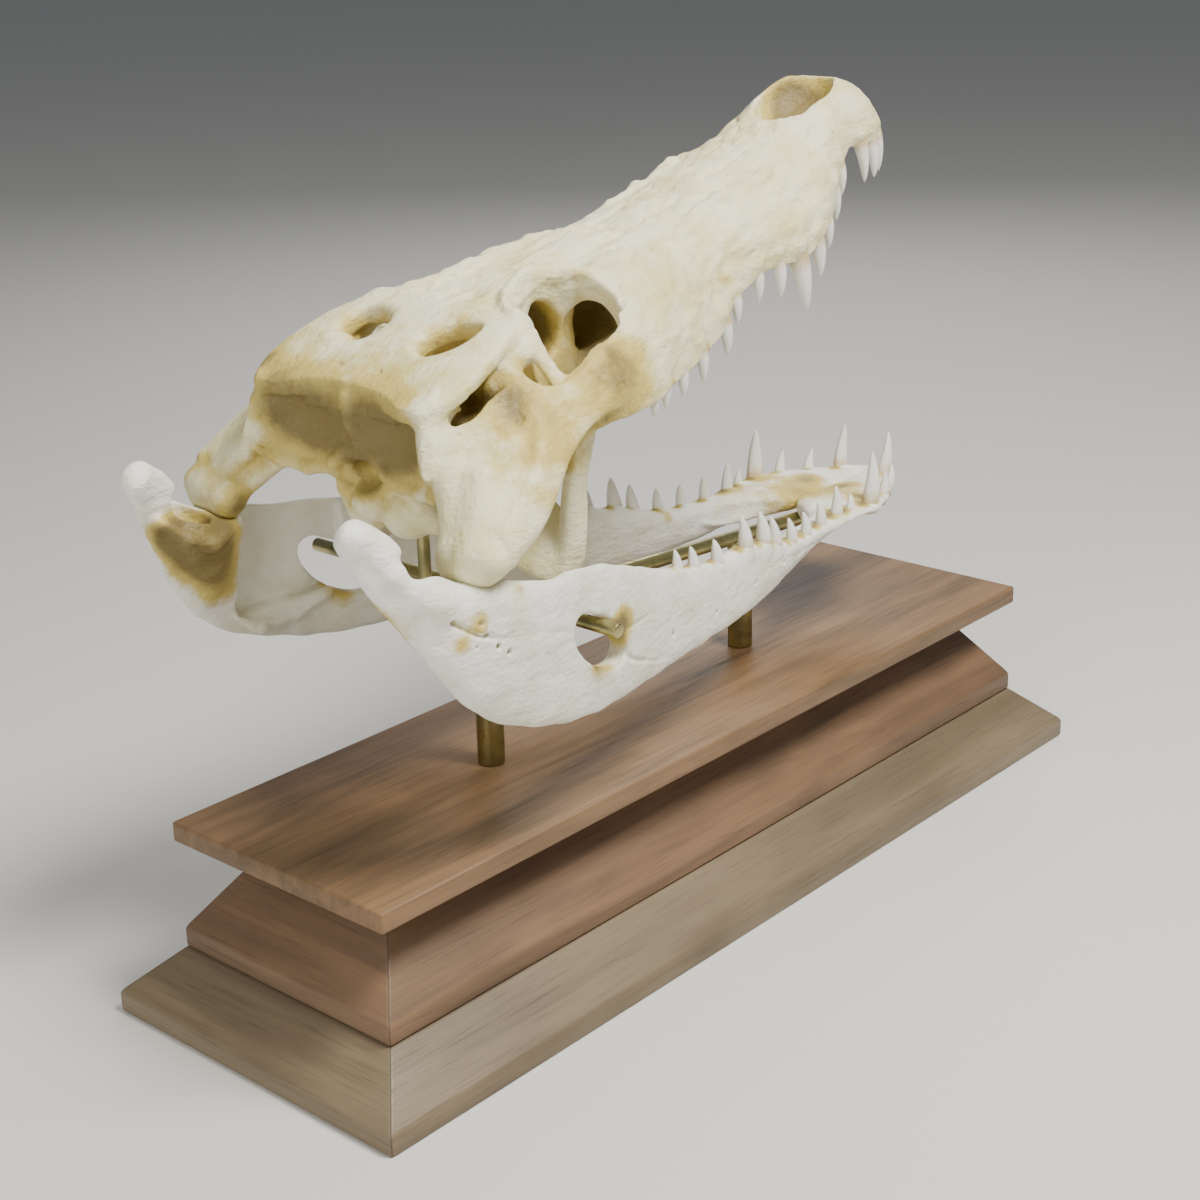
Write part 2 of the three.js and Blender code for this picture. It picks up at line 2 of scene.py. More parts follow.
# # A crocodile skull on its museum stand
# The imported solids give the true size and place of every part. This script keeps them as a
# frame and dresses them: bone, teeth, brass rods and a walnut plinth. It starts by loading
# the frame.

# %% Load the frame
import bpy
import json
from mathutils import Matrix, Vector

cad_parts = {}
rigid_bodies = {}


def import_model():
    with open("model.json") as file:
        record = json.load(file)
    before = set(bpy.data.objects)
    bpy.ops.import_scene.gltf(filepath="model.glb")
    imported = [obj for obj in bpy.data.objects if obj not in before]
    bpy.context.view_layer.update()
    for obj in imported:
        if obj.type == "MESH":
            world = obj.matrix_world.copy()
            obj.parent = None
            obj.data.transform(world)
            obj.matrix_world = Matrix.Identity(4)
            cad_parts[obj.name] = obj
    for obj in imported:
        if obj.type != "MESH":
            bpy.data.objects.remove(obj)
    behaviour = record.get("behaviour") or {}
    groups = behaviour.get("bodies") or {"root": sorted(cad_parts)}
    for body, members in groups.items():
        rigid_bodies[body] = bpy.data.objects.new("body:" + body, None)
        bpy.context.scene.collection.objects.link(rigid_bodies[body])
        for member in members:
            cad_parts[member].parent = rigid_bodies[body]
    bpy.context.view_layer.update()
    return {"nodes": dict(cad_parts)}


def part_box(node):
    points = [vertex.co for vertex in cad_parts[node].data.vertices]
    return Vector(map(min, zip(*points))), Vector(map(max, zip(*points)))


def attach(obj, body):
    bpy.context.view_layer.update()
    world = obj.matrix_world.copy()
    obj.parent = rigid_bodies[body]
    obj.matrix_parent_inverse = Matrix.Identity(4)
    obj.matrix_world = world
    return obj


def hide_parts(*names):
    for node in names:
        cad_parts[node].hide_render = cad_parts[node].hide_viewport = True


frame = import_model()

import json
import math
import bpy
import numpy as np
import openvdb
from mathutils import Vector

MM = 0.001
print("solids in the frame:", len(frame["nodes"]))

# %% [markdown]
# ## Small helpers
# Blender's operators act on whatever is selected, so everything is deselected before each
# use. Lengths in the tables are millimetres, and only the finished mesh is in metres.

# %% Selecting and naming
def pick(*things):
    """Selects these objects and nothing else."""
    bpy.ops.object.select_all(action="DESELECT")
    for thing in things:
        thing.select_set(True)
    bpy.context.view_layer.objects.active = things[0]


def settle(piece, name):
    """Names the piece and moves its place into its mesh."""
    piece.name = name
    piece.data.name = name
    pick(piece)
    bpy.ops.object.transform_apply(location=True, rotation=True, scale=True)
    return piece


def apply_modifier(piece, kind, **settings):
    """Adds a modifier with its settings and applies it."""
    modifier = piece.modifiers.new(kind.lower(), kind)
    for key, value in settings.items():
        setattr(modifier, key, value)
    pick(piece)
    bpy.ops.object.modifier_apply(modifier=modifier.name)


def face_outward(piece):
    """Turns every face outward."""
    pick(piece)
    bpy.ops.object.mode_set(mode="EDIT")
    bpy.ops.mesh.select_all(action="SELECT")
    bpy.ops.mesh.normals_make_consistent(inside=False)
    bpy.ops.object.mode_set(mode="OBJECT")


def smooth_faces(piece):
    """Shades the whole piece smooth."""
    piece.data.polygons.foreach_set("use_smooth", [True] * len(piece.data.polygons))


def piece_of(name, points, faces):
    """A new object whose mesh has these points and faces."""
    mesh = bpy.data.meshes.new(name)
    mesh.from_pydata(points.tolist(), [], faces)
    piece = bpy.data.objects.new(name, mesh)
    bpy.context.collection.objects.link(piece)
    return piece


pick(*frame["nodes"].values())
bpy.ops.object.select_all(action="DESELECT")
print("everything is deselected")

# %% [markdown]
# ## The camera
# It stands behind the animal's right shoulder, a little above the skull roof, and looks
# along the snout. The lens is a short telephoto, so near and far teeth keep their sizes.

# %% Add the camera
CAMERA_PLACE = Vector((-0.680, -0.583, 0.460))
CAMERA_YAW = math.radians(-48.10)
CAMERA_PITCH = math.radians(20.05)
CAMERA_ROLL = math.radians(-1.62)
FOCAL_PIXELS = 2050.0
FRAME_PIXELS = 1200.0
SENSOR = 36.0

bpy.ops.object.camera_add(location=CAMERA_PLACE)
camera = bpy.context.object
camera.data.sensor_width = SENSOR
camera.data.lens = SENSOR * FOCAL_PIXELS / FRAME_PIXELS
camera.data.clip_start = 0.01
camera.rotation_mode = "XYZ"
back = Vector((
    math.sin(CAMERA_YAW) * math.cos(CAMERA_PITCH),
    -math.cos(CAMERA_YAW) * math.cos(CAMERA_PITCH),
    math.sin(CAMERA_PITCH),
))
level = Vector((0, 0, 1)).cross(back).normalized()
upright = back.cross(level)
side = level * math.cos(CAMERA_ROLL) + upright * math.sin(CAMERA_ROLL)
head_up = upright * math.cos(CAMERA_ROLL) - level * math.sin(CAMERA_ROLL)
turn = camera.rotation_euler.to_matrix()
turn.col[0] = side
turn.col[1] = head_up
turn.col[2] = back
camera.rotation_euler = turn.to_euler()
bpy.context.scene.camera = camera
print("camera lens, mm:", round(camera.data.lens, 1))

# %% [markdown]
# ## Rows and rings
# A bone is described by a few cross sections, listed from one end to the other. A smooth
# cubic runs through them, and each section becomes one ring of a closed tube.

# %% From table rows to a closed tube
def smooth_rows(rows, fine=5):
    """More rows between the given ones, along a curve that passes through each."""
    rows = np.array(rows, float)
    last = len(rows) - 1
    along = np.linspace(0, last, last * fine + 1)
    first = np.clip(along.astype(int), 0, last - 1)
    t = (along - first)[:, None]
    held = np.vstack([2 * rows[0] - rows[1], rows, 2 * rows[-1] - rows[-2]])
    a, b, c, d = (held[first + k] for k in range(4))
    return b + 0.5 * t * (c - a + t * (2 * a - 5 * b + 4 * c - d + t * (3 * (b - c) + d - a)))


def tube(rings):
    """Points and faces of a tube of rings, closed at both ends."""
    count, around, _ = rings.shape
    points = np.concatenate([rings.reshape(-1, 3), rings[:1].mean(1), rings[-1:].mean(1)])
    row = np.arange(count - 1)[:, None] * around
    here = np.arange(around)[None, :]
    after = (here + 1) % around
    quads = np.stack([row + here, row + after, row + around + after, row + around + here], -1)
    ring = np.arange(around)
    following = (ring + 1) % around
    end = (count - 1) * around
    caps = np.concatenate([
        np.stack([np.full(around, count * around), following, ring], 1),
        np.stack([np.full(around, count * around + 1), end + ring, end + following], 1),
    ])
    return points, quads.reshape(-1, 4), caps


def power(value, exponent):
    """A power that keeps the sign, which makes a circle squarer or more pointed."""
    return np.sign(value) * np.abs(value) ** exponent


def circle(around):
    """The cosines and sines of evenly spaced steps round a ring."""
    angle = np.linspace(0, 2 * np.pi, around, endpoint=False)
    return np.cos(angle)[None, :], np.sin(angle)[None, :]


def blade(rows, around=28, squareness=0.8, fine=5):
    """A bar or plate between two edge lines: rows of edge A, edge B, thickness, flare."""
    rows = np.array([list(row) + [0] * (8 - len(row)) for row in rows], float)
    rows = smooth_rows(rows, fine)
    centre = (rows[:, 0:3] + rows[:, 3:6]) / 2
    half = (rows[:, 3:6] - rows[:, 0:3]) / 2
    along = np.gradient(centre, axis=0)
    across = np.cross(along, half)
    across *= rows[:, 6:7] / 2 / np.linalg.norm(across, axis=1, keepdims=True)
    cosine, sine = circle(around)
    wide = power(cosine, squareness)[..., None]
    thick = (power(sine, squareness) * (1 + rows[:, 7:8] * cosine))[..., None]
    return tube(centre[:, None, :] + half[:, None, :] * wide + across[:, None, :] * thick)


def section_tube(rows, shape, around=48, fine=5):
    """A tube whose ring points are given by shape(row, cosine, sine)."""
    rows = smooth_rows(rows, fine)
    cosine, sine = circle(around)
    columns = [rows[:, k:k + 1] for k in range(rows.shape[1])]
    parts = shape(columns, cosine, sine)
    return tube(np.stack(np.broadcast_arrays(*parts), -1))


print("tube helpers are ready")

# %% [markdown]
# ## Bone as blended volumes
# Skull bones grow into each other without edges, and holes in them have soft rims. Modelling
# that by hand would mean thousands of edge loops, so each bone is a distance field instead:
# a box of numbers that say how far each point is from the skin. Two fields can be joined or
# cut with a fillet, and one skin is drawn over the result, as Blender's metaballs do it.

# %% A block of distance values
BAND = 8.0


def merged(first, second, fillet):
    """Two forms grown together, with a fillet where their skins meet."""
    near = np.maximum(fillet - np.abs(first - second), 0) / fillet
    return np.minimum(first, second) - near * near * fillet / 4


def carved(first, second, fillet):
    """The first form without the second, with a rounded rim."""
    near = np.maximum(fillet - np.abs(first + second), 0) / fillet
    return np.maximum(first, -second) + near * near * fillet / 4


def spread(line, axis):
    """Shapes a line of numbers so that numpy spreads it over a block along one axis."""
    return line.reshape([-1 if k == axis else 1 for k in range(3)])


class Block:
    """A grid of distances in millimetres, negative inside the bone."""

    def __init__(self, low, high, step):
        self.low = np.array(low, float)
        self.step = step
        self.shape = tuple(int(round((b - a) / step)) + 1 for a, b in zip(low, high))
        self.lay_axes()
        self.values = np.full(self.shape, BAND * step, np.float32)

    def lay_axes(self):
        """The x, y and z of every layer."""
        self.axes = [
            spread(self.low[k] + np.arange(self.shape[k]) * self.step, k) for k in range(3)
        ]

    def join(self, other, fillet=3.0):
        self.values = merged(self.values, other, fillet)

    def cut(self, other, fillet=2.0):
        self.values = carved(self.values, other, fillet)

    def mirrored(self):
        """The whole block from its +Y half, whose first layer lies on the middle plane."""
        whole = Block.__new__(Block)
        whole.low = self.low * [1, -1, 1] - [0, (self.shape[1] - 1) * self.step, 0]
        whole.step = self.step
        whole.values = np.concatenate([self.values[:, :0:-1], self.values], axis=1)
        whole.shape = whole.values.shape
        whole.lay_axes()
        return whole


print("distance blocks are ready")

# %% [markdown]
# ## Forms to join or cut
# A bone or a hole starts as one of four forms: a tube through sections, a turned egg shape, a
# box, or an upright shaft with a free outline. Each function gives the form's distances over
# the whole block. Only the tube needs a mesh, which OpenVDB measures.

# %% Tubes, balls and boxes
NO_ZERO = 1e-6


def tube_in(block, points, quads, caps):
    """The distances of a closed tube's skin."""
    shifted = (points - block.low) / block.step
    grid = openvdb.FloatGrid.createLevelSetFromPolygons(
        np.ascontiguousarray(shifted, np.float32),
        triangles=np.ascontiguousarray(caps, np.uint32),
        quads=np.ascontiguousarray(quads, np.uint32),
        transform=openvdb.createLinearTransform(1.0),
        halfWidth=BAND,
    )
    distances = np.empty(block.shape, np.float32)
    grid.copyToArray(distances)
    return distances * block.step


def ball_in(block, centre, radii, turn=0.0, axis=2):
    """An ellipsoid, turned about the y axis (1) or the z axis (2)."""
    x, y, z = (a - c for a, c in zip(block.axes, centre))
    if turn:
        c, s = math.cos(turn), math.sin(turn)
        if axis == 2:
            x, y = x * c + y * s, y * c - x * s
        else:
            x, z = x * c - z * s, z * c + x * s
    a, b, c = radii
    near = np.sqrt((x / a) ** 2 + (y / b) ** 2 + (z / c) ** 2) + NO_ZERO
    far = np.sqrt((x / a ** 2) ** 2 + (y / b ** 2) ** 2 + (z / c ** 2) ** 2) + NO_ZERO
    return (near * (near - 1) / far).astype(np.float32)


def box_in(block, low, high):
    """An upright box between two corners."""
    x, y, z = (np.abs(a - (p + q) / 2) - (q - p) / 2 for a, p, q in zip(block.axes, low, high))
    outside = np.sqrt(np.maximum(x, 0) ** 2 + np.maximum(y, 0) ** 2 + np.maximum(z, 0) ** 2)
    return (outside + np.minimum(np.maximum(np.maximum(x, y), z), 0)).astype(np.float32)


print("tubes, balls and boxes are ready")

# %% Upright shafts
SHAFT_FINE = 6


def shaft_in(block, rim, low, high):
    """An upright shaft whose outline is a smooth closed curve through the rim points."""
    loop = np.array(rim, float)
    loop = smooth_rows(np.vstack([loop[-2:], loop, loop[:3]]), SHAFT_FINE)
    loop = loop[2 * SHAFT_FINE:-2 * SHAFT_FINE]
    x, y = block.axes[0][:, :, 0], block.axes[1][:, :, 0]
    inside = np.zeros((block.shape[0], block.shape[1]), bool)
    nearest = np.full(inside.shape, 1e9)
    for (ax, ay), (bx, by) in zip(loop[:-1], loop[1:]):
        length = (bx - ax) ** 2 + (by - ay) ** 2 + 1e-9
        t = np.clip(((x - ax) * (bx - ax) + (y - ay) * (by - ay)) / length, 0, 1)
        gap = (x - ax - t * (bx - ax)) ** 2 + (y - ay - t * (by - ay)) ** 2
        nearest = np.minimum(nearest, gap)
        crosses = ((ay > y) != (by > y)) & (x < (bx - ax) * (y - ay) / (by - ay + 1e-12) + ax)
        inside ^= crosses
    flat = np.where(inside, -1, 1) * np.sqrt(nearest)
    z = block.axes[2]
    return np.maximum(flat[:, :, None], np.maximum(low - z, z - high)).astype(np.float32)


print("shafts are ready")

# %% [markdown]
# ## Rounded lines
# Ridges, grooves, seams and vessel holes are all rounded lines. One function adds a ridge, or
# cuts a groove of a given depth. It works only in the cells near the line, so hundreds of
# short strokes stay quick.

# %% Ridges and grooves
def stroke(block, points, radii, depth=None, fillet=1.5):
    """A rounded line: a ridge that is added, or with depth a groove that is cut."""
    points = np.array(points, float)
    radii = np.broadcast_to(np.array(radii, float), len(points))
    for a, b, ra, rb in zip(points[:-1], points[1:], radii[:-1], radii[1:]):
        reach = max(ra, rb) + fillet + 2 * block.step
        low = np.floor((np.minimum(a, b) - reach - block.low) / block.step).astype(int)
        high = np.ceil((np.maximum(a, b) + reach - block.low) / block.step).astype(int) + 1
        low = np.maximum(low, 0)
        high = np.minimum(high, block.shape)
        if (high <= low).any():
            continue
        part = tuple(slice(p, q) for p, q in zip(low, high))
        x, y, z = (spread(block.axes[k].reshape(-1)[part[k]], k) for k in range(3))
        step = b - a
        t = ((x - a[0]) * step[0] + (y - a[1]) * step[1] + (z - a[2]) * step[2])
        t = np.clip(t / (step @ step + 1e-9), 0, 1)
        away = np.sqrt(
            (x - a[0] - t * step[0]) ** 2
            + (y - a[1] - t * step[1]) ** 2
            + (z - a[2] - t * step[2]) ** 2
        ) - (ra + (rb - ra) * t)
        if depth is None:
            block.values[part] = merged(block.values[part], away, fillet)
        else:
            sunk = away + ((ra + rb) / 2 - depth)
            block.values[part] = carved(block.values[part], sunk, fillet)


def soften(values, reach, times):
    """A box blur along each axis."""
    width = 2 * reach + 1
    for axis in list(range(3)) * times:
        first = np.repeat(values.take([0], axis), reach + 1, axis)
        last = np.repeat(values.take([-1], axis), reach, axis)
        total = np.cumsum(np.concatenate([first, values, last], axis), axis, dtype=np.float64)
        size = values.shape[axis]
        above = total.take(range(width, width + size), axis)
        below = total.take(range(size), axis)
        values = ((above - below) / width).astype(np.float32)
    return values


print("ridges, grooves and blurs are ready")

# %% [markdown]
# ## The upper skull: its tables
# The skull is modelled in its own straight frame: u runs forward from the jaw joint, y to
# the animal's left and w up from the tooth row. It is turned up by the gape at the very end.
# The sections follow the ones that the solids in the frame were made from, and only thin
# edges, such as the eye bar and the snout's tip, are worked finer here.

# %% Sections of the snout, roof and braincase
JAW_JOINT = np.array((-183.0, 0.0, 213.0))
GAPE = math.radians(20)
GUM_STEP, GUM_SHARE = 3, 0.35
SNOUT = [
    # u, half width, margin, top, palate, roundness
    (84, 71, 13, 49, -2, 0.95), (95, 73, 11, 50, -3, 1), (107, 72.5, 6, 50, -4, 1),
    (120, 69, 1, 49, -4, 0.95), (133, 65, -2, 46, -4, 0.9), (148, 61, -5, 42.5, -4, 0.85),
    (168, 54.5, -9, 38.5, -4, 0.86), (182, 50, -11, 36, -4, 0.9), (195, 46, -12, 33.5, -4, 0.92),
    (209, 43, -7, 32, -3, 0.92), (228, 42, -5, 30, -2, 0.92), (241, 44, -7, 29, -2, 0.92),
    (255, 46.5, -11, 27.5, -3, 0.92), (269, 46, -11, 26.5, -3, 0.92), (283, 43, -7, 26, -2, 0.92),
    (299, 36.5, -2, 26.5, -1, 0.9), (311, 32, 1, 28, 0, 0.85), (322, 27.5, 3.5, 31, 1, 0.78),
    (329, 25.5, 4.5, 32, 2, 0.74), (336, 27.5, 2, 31.5, 1, 0.74), (344, 29, 0.5, 29.5, 0, 0.78),
    (352, 27, -1.5, 25, -1, 0.82), (360, 20.5, -3, 18.5, -3, 0.85), (365, 11.5, -3, 11.5, -3, 0.9),
    (367.5, 3, -1, 4, -4, 0.9),
]
ROOF = [
    # u, half width, top, thickness
    (22, 46.5, 51.5, 7), (28, 51, 52.5, 9), (38, 54.5, 54, 10), (50, 54, 55, 10),
    (62, 52, 55.5, 10), (72, 49, 55.5, 10), (82, 45, 54.5, 10), (91, 39, 52.5, 10),
    (98, 29, 50.5, 10), (106, 17, 49, 10),
]
BRAINCASE = [
    # u, half width, top, bottom
    (26, 22, 44, 2), (34, 24, 46, -6), (44, 20, 48, -14), (60, 15, 49, -14),
    (78, 12, 49, 2), (96, 9, 48, 22), (108, 8, 47, 30),
]
print("snout sections:", len(SNOUT))

# %% Edge lines of the bars and plates
OCCIPUT = [
    # lower edge, upper edge, thickness: from the midline outward
    (27, 0, -4, 35, 0, 47, 12), (27, 16, 4, 34, 18, 47, 12), (26, 30, 9.5, 32, 32, 47, 11),
    (22, 42, 14, 28, 42, 46, 10), (15, 49, 23, 23, 47, 45, 8), (11, 53, 29, 20, 50, 43, 5),
]
BROW = [
    # lower edge, upper edge, thickness: along the inner rim of the eye socket
    (84, 45, 44, 84, 45, 50, 5), (90, 36, 44, 90, 36, 54, 6), (95, 28, 43, 95, 28, 55, 6.5),
    (104, 20, 41, 104, 21, 54, 6.5), (116, 15.5, 40, 116, 17, 52.5, 6),
    (128, 15.5, 38, 128, 17.5, 50, 6), (137, 22, 35, 137, 23, 45.5, 6),
    (146, 32, 28, 146, 32, 36, 5),
]
PTERYGOID = [
    # front edge, rear edge, thickness: from the midline out to the flange
    (92, 0, -6, 38, 0, -14, 12), (86, 14, -10, 42, 14, -20, 8), (80, 30, -18, 44, 30, -30, 6),
    (76, 44, -28, 48, 44, -42, 6), (76, 53, -34, 54, 53, -52, 7),
]
QUADRATE = [
    # inner edge, outer edge, thickness: from the ear down to the jaw joint
    (58, 30, 42, 76, 44, 47, 8), (46, 34, 30, 68, 55, 40, 9), (34, 36, 17, 61, 66, 34, 9),
    (22, 45, 11, 48, 78, 23, 10), (10, 57, 4, 24, 86, 12, 12), (1, 63, 1, 7, 86, 9, 12),
]
JUGAL = [
    # lower edge, upper edge, thickness: from the cheek back to the jaw joint
    (132, 55, 4, 132, 50, 24, 5), (107, 69.5, 6, 107, 61, 30, 7), (92, 74.5, 12.5, 92, 65, 32, 8),
    (77, 77, 17, 79, 65, 33, 7.5), (62, 79, 15, 61, 64, 35, 7), (46, 83, 11.5, 50, 74, 28, 7),
    (27, 86.5, 4, 28, 83, 20, 7), (8, 88, 0.5, 9, 86, 15, 6),
]
EYE_BAR = [
    # front edge, rear edge, thickness: from the roof down to the cheek
    (94, 36, 50, 84, 36, 50, 8), (91, 43, 46, 83, 43, 46, 6), (88, 49, 41, 81, 49, 40, 5),
    (85, 56, 35.5, 78, 56, 34, 4.6), (84, 62, 30, 75, 62, 29, 5), (88, 66.5, 25, 72, 67, 24, 6),
]
FLANGE_STRUT = [
    # front edge, rear edge, thickness: from the cheek down to the flange
    (98, 65, 12, 80, 66, 16, 7), (92, 59, 0, 77, 60, 2, 7), (84, 55, -16, 69, 56, -18, 7),
    (80, 54, -30, 62, 54, -36, 7), (75, 53.5, -42, 56, 53.5, -50, 6), (70, 53, -50, 60, 53, -54, 4),
]
EYE_RIM = [
    (88, 44), (92, 35), (98, 28.5), (106, 23), (117, 19.5), (128, 20), (137, 27), (139, 38),
    (133, 50), (121, 57), (107, 59), (95, 57), (88, 51),
]
TEMPLE_RIM = [
    (52, 24), (55, 29), (62, 32.5), (69, 34), (75.5, 32.5), (77, 26), (74.5, 18.5), (68, 13.5),
    (61, 13), (55, 17),
]
print("bars and plates: 7 kinds, mirrored left and right")

# %% [markdown]
# ## The upper skull: building up bone
# The snout, roof, braincase and back plate are joined first, each with a soft fillet. Then
# the eye sockets, nostril and other openings are cut, and last the thin bars that cross them
# are added, so that no cutter nicks a bar. Only the left half is worked, then mirrored.

# %% Join the main bones
GRAIN = 0.7


def snout_section(columns, cosine, sine):
    u, half, margin, top, palate, roundness = columns
    inward = 1 - np.abs(cosine)
    roof = margin + (top - margin) * power(np.maximum(sine, 0), roundness)
    gum = margin - GUM_STEP
    vault = gum + (palate - gum) * np.minimum(1, inward / GUM_SHARE)
    return u, half * power(cosine, roundness), np.where(sine > 1e-9, roof, vault)


def roof_section(columns, cosine, sine):
    u, half, top, thickness = columns
    return u, half * power(cosine, 0.5), top - thickness / 2 + thickness / 2 * power(sine, 0.5)


def braincase_section(columns, cosine, sine):
    u, half, top, bottom = columns
    return u, half * power(cosine, 0.8), (top + bottom) / 2 + (top - bottom) / 2 * power(sine, 0.8)


def across_middle(rows):
    """Starts the rows on the far side of the midline, so both halves grow together."""
    far = [rows[1][0], -rows[1][1], rows[1][2], rows[1][3], -rows[1][4], *rows[1][5:]]
    return [far] + list(rows)


skull = Block((-11, 0, -60), (371, 94, 62), GRAIN)
skull.join(tube_in(skull, *section_tube(SNOUT, snout_section, 72)), 0.1)
skull.join(tube_in(skull, *section_tube(ROOF, roof_section, 48)), 2)
outer_form = skull.values.copy()
skull.join(tube_in(skull, *section_tube(BRAINCASE, braincase_section)), 4)
skull.join(ball_in(skull, (22, 0, 1), (8, 9, 8)), 2)
skull.join(tube_in(skull, *blade(across_middle(OCCIPUT))), 4)
skull.join(tube_in(skull, *blade(BROW)), 3)
skull.join(tube_in(skull, *blade(across_middle(PTERYGOID))), 3)
print("main bones joined, cells in the block:", skull.values.size)

# %% Cut the openings and add the bars
ROLLER = [(1, 67, 1.5), (1, 72, 2.5), (2, 78, 4), (3, 84, 6)]
ROLLER_RADII = np.array([7.4, 6.6, 7.6, 6.0])
REAR_PLATE = [
    # rear edge, front edge, thickness: fills between the ear flap and the cheek web
    (23, 50, 36, 58, 57, 41, 6), (20, 54, 29, 50, 62, 34, 7), (17, 58, 22, 44, 70, 27, 9),
    (12, 65, 15, 34, 78, 19, 10), (5, 71, 8, 20, 83, 12, 11),
]
CHEEK_WEB = [
    # rear edge, front edge, thickness: fills between the quadrate and the cheek bar
    (66, 50, 44, 70, 66, 33, 5), (62, 54, 39, 68, 70, 26, 6), (50, 62, 32, 56, 78, 18, 6),
    (36, 70, 25, 42, 84, 11, 6), (20, 78, 17, 26, 88, 7, 6), (8, 82, 12, 12, 89, 6, 5),
]
EAR_FLAP = [
    # rear edge, front edge, thickness: from the roof corner down to the quadrate
    (23, 42, 50, 34, 45, 52, 8), (22, 46, 42, 32, 49, 43, 7), (19, 50, 33, 29, 53, 34, 7),
    (15, 55, 24, 26, 58, 25, 7), (10, 62, 15, 22, 66, 17, 7), (5, 68, 10, 16, 74, 12, 6),
]
skull.cut(ball_in(skull, (327, 0, 31.5), (23.5, 18, 19)), 2)
skull.cut(ball_in(skull, (22, 0, 13), (13, 8, 6)), 2)
skull.cut(ball_in(skull, (12, 0, 50), (17, 42, 13)), 2)
skull.cut(ball_in(skull, (20, 22, 34), (8, 17, 9)), 5)
skull.cut(shaft_in(skull, EYE_RIM, -30, 70), 3)
skull.cut(ball_in(skull, (122, 31, -8), (40, 14, 22), -0.25), 3)
skull.cut(ball_in(skull, (116, 0, 26), (12, 44, 13.5)), 3)
skull.cut(ball_in(skull, (150, 21, 17), (22, 20, 15)), 2)
skull.cut(box_in(skull, (81, 17, -7), (97, 58, 38)) - 3, 3)
stroke(skull, [(127, 14, 2), (131, 15, 14), (135, 16, 26), (138, 18, 36)], [6, 3.6, 3.4, 7],
       fillet=3)
for rows, fillet in (
        (QUADRATE, 4), (JUGAL, 4), (EYE_BAR, 3), (FLANGE_STRUT, 4), (EAR_FLAP, 4),
        (CHEEK_WEB, 5), (REAR_PLATE, 5)):
    skull.join(tube_in(skull, *blade(rows)), fillet)
stroke(skull, [(80, 45, 42), (67, 46, 41), (58, 47, 40)], [4.5, 5, 3.2], fillet=5)
stroke(skull, ROLLER, ROLLER_RADII, fillet=5)
skull.cut(ball_in(skull, (10, 39, -8), (24, 18.5, 18.5)), 4)
skull.cut(ball_in(skull, (42, 47, 40), (9, 8, 7)), 4)
skull.cut(ball_in(skull, (65, 23, 59), (16, 14, 8), 0.25), 3)
skull.cut(shaft_in(skull, TEMPLE_RIM, 30, 70), 3)
print("openings cut and bars added")

# %% [markdown]
# ## The upper skull: holes and ridges of the back
# The back plate carries a crest in the middle, ledges for the neck muscles, two pairs of
# small holes for vessels, and the ear opening under the roof edge. Rounded lines and small
# balls are enough for all of these, joined or cut with a fillet.

# %% Work the back plate
stroke(skull, [(29, 0, 46), (27, 0, 36), (26, 0, 25)], [3.5, 2.5, 2.5], fillet=4)
stroke(skull, [(27, 0, 23), (25, 9, 21.5), (22, 15, 17), (23, 17, 11)], [3, 2.8, 2.4, 2], fillet=3)
stroke(skull, [(24, 18, 13), (21, 32, 12), (18, 44, 15), (16, 52, 19)], [3, 2.6, 2.2, 1.6],
       fillet=3)
stroke(skull, [(22, 24, 20), (18, 36, 21)], 2.4, depth=1.6, fillet=3)
stroke(skull, [(30, 16, 45.5), (31, 21, 45), (31, 27, 44)], [1.4, 1.7, 1.3], depth=1.5, fillet=2)
stroke(skull, [(27, 14, 42), (28, 20, 41.5), (27, 25, 40.5)], [1.8, 2.2, 1.6], fillet=2)
skull.cut(ball_in(skull, (48, 40, 36), (6, 9, 5)), 3)
skull.cut(ball_in(skull, (19, 13, 3), (7, 2.6, 2.4)), 2)
skull.join(ball_in(skull, (31, 11, -8), (12, 11, 9)), 5)
stroke(skull, [(30, 24, -10), (28, 21, 0), (27, 19, 8)], [4, 3.5, 3], fillet=4)
print("back plate worked")

# %% [markdown]
# ## The upper skull: seams
# The skull is many bones grown together along seams. On the snout they show as fine wavy
# grooves, and a pair of low ridges runs forward from the eyes. The height of the snout at any
# spot follows from its sections, so a seam needs only its way in plan.

# %% Draw the seams and ridges of the snout
def on_snout(u, y, sink=0.0):
    """The point of the snout's skin above (u, y), or a little below it."""
    rows = np.array(SNOUT)
    half, margin, top, roundness = (np.interp(u, rows[:, 0], rows[:, k]) for k in (1, 2, 3, 5))
    side = np.clip(1 - (abs(y) / half) ** (2 / roundness), 0, 1) ** (roundness / 2)
    return (u, y, margin + (top - margin) * side - sink)


POINTS_PER_WAVE = 6


def seam(block, start, end, waves, sway, radius=0.9, depth=0.7):
    """A wavy groove over the snout, from one (u, y) to another."""
    path = []
    for share in np.linspace(0, 1, waves * POINTS_PER_WAVE + 1):
        u = start[0] + (end[0] - start[0]) * share
        y = start[1] + (end[1] - start[1]) * share
        y += sway * math.sin(share * waves * 2 * math.pi) * (0.6 + 0.4 * math.sin(7 * share))
        path.append(on_snout(u, max(y, 0.2)))
    stroke(block, path, radius, depth=depth, fillet=0.8)


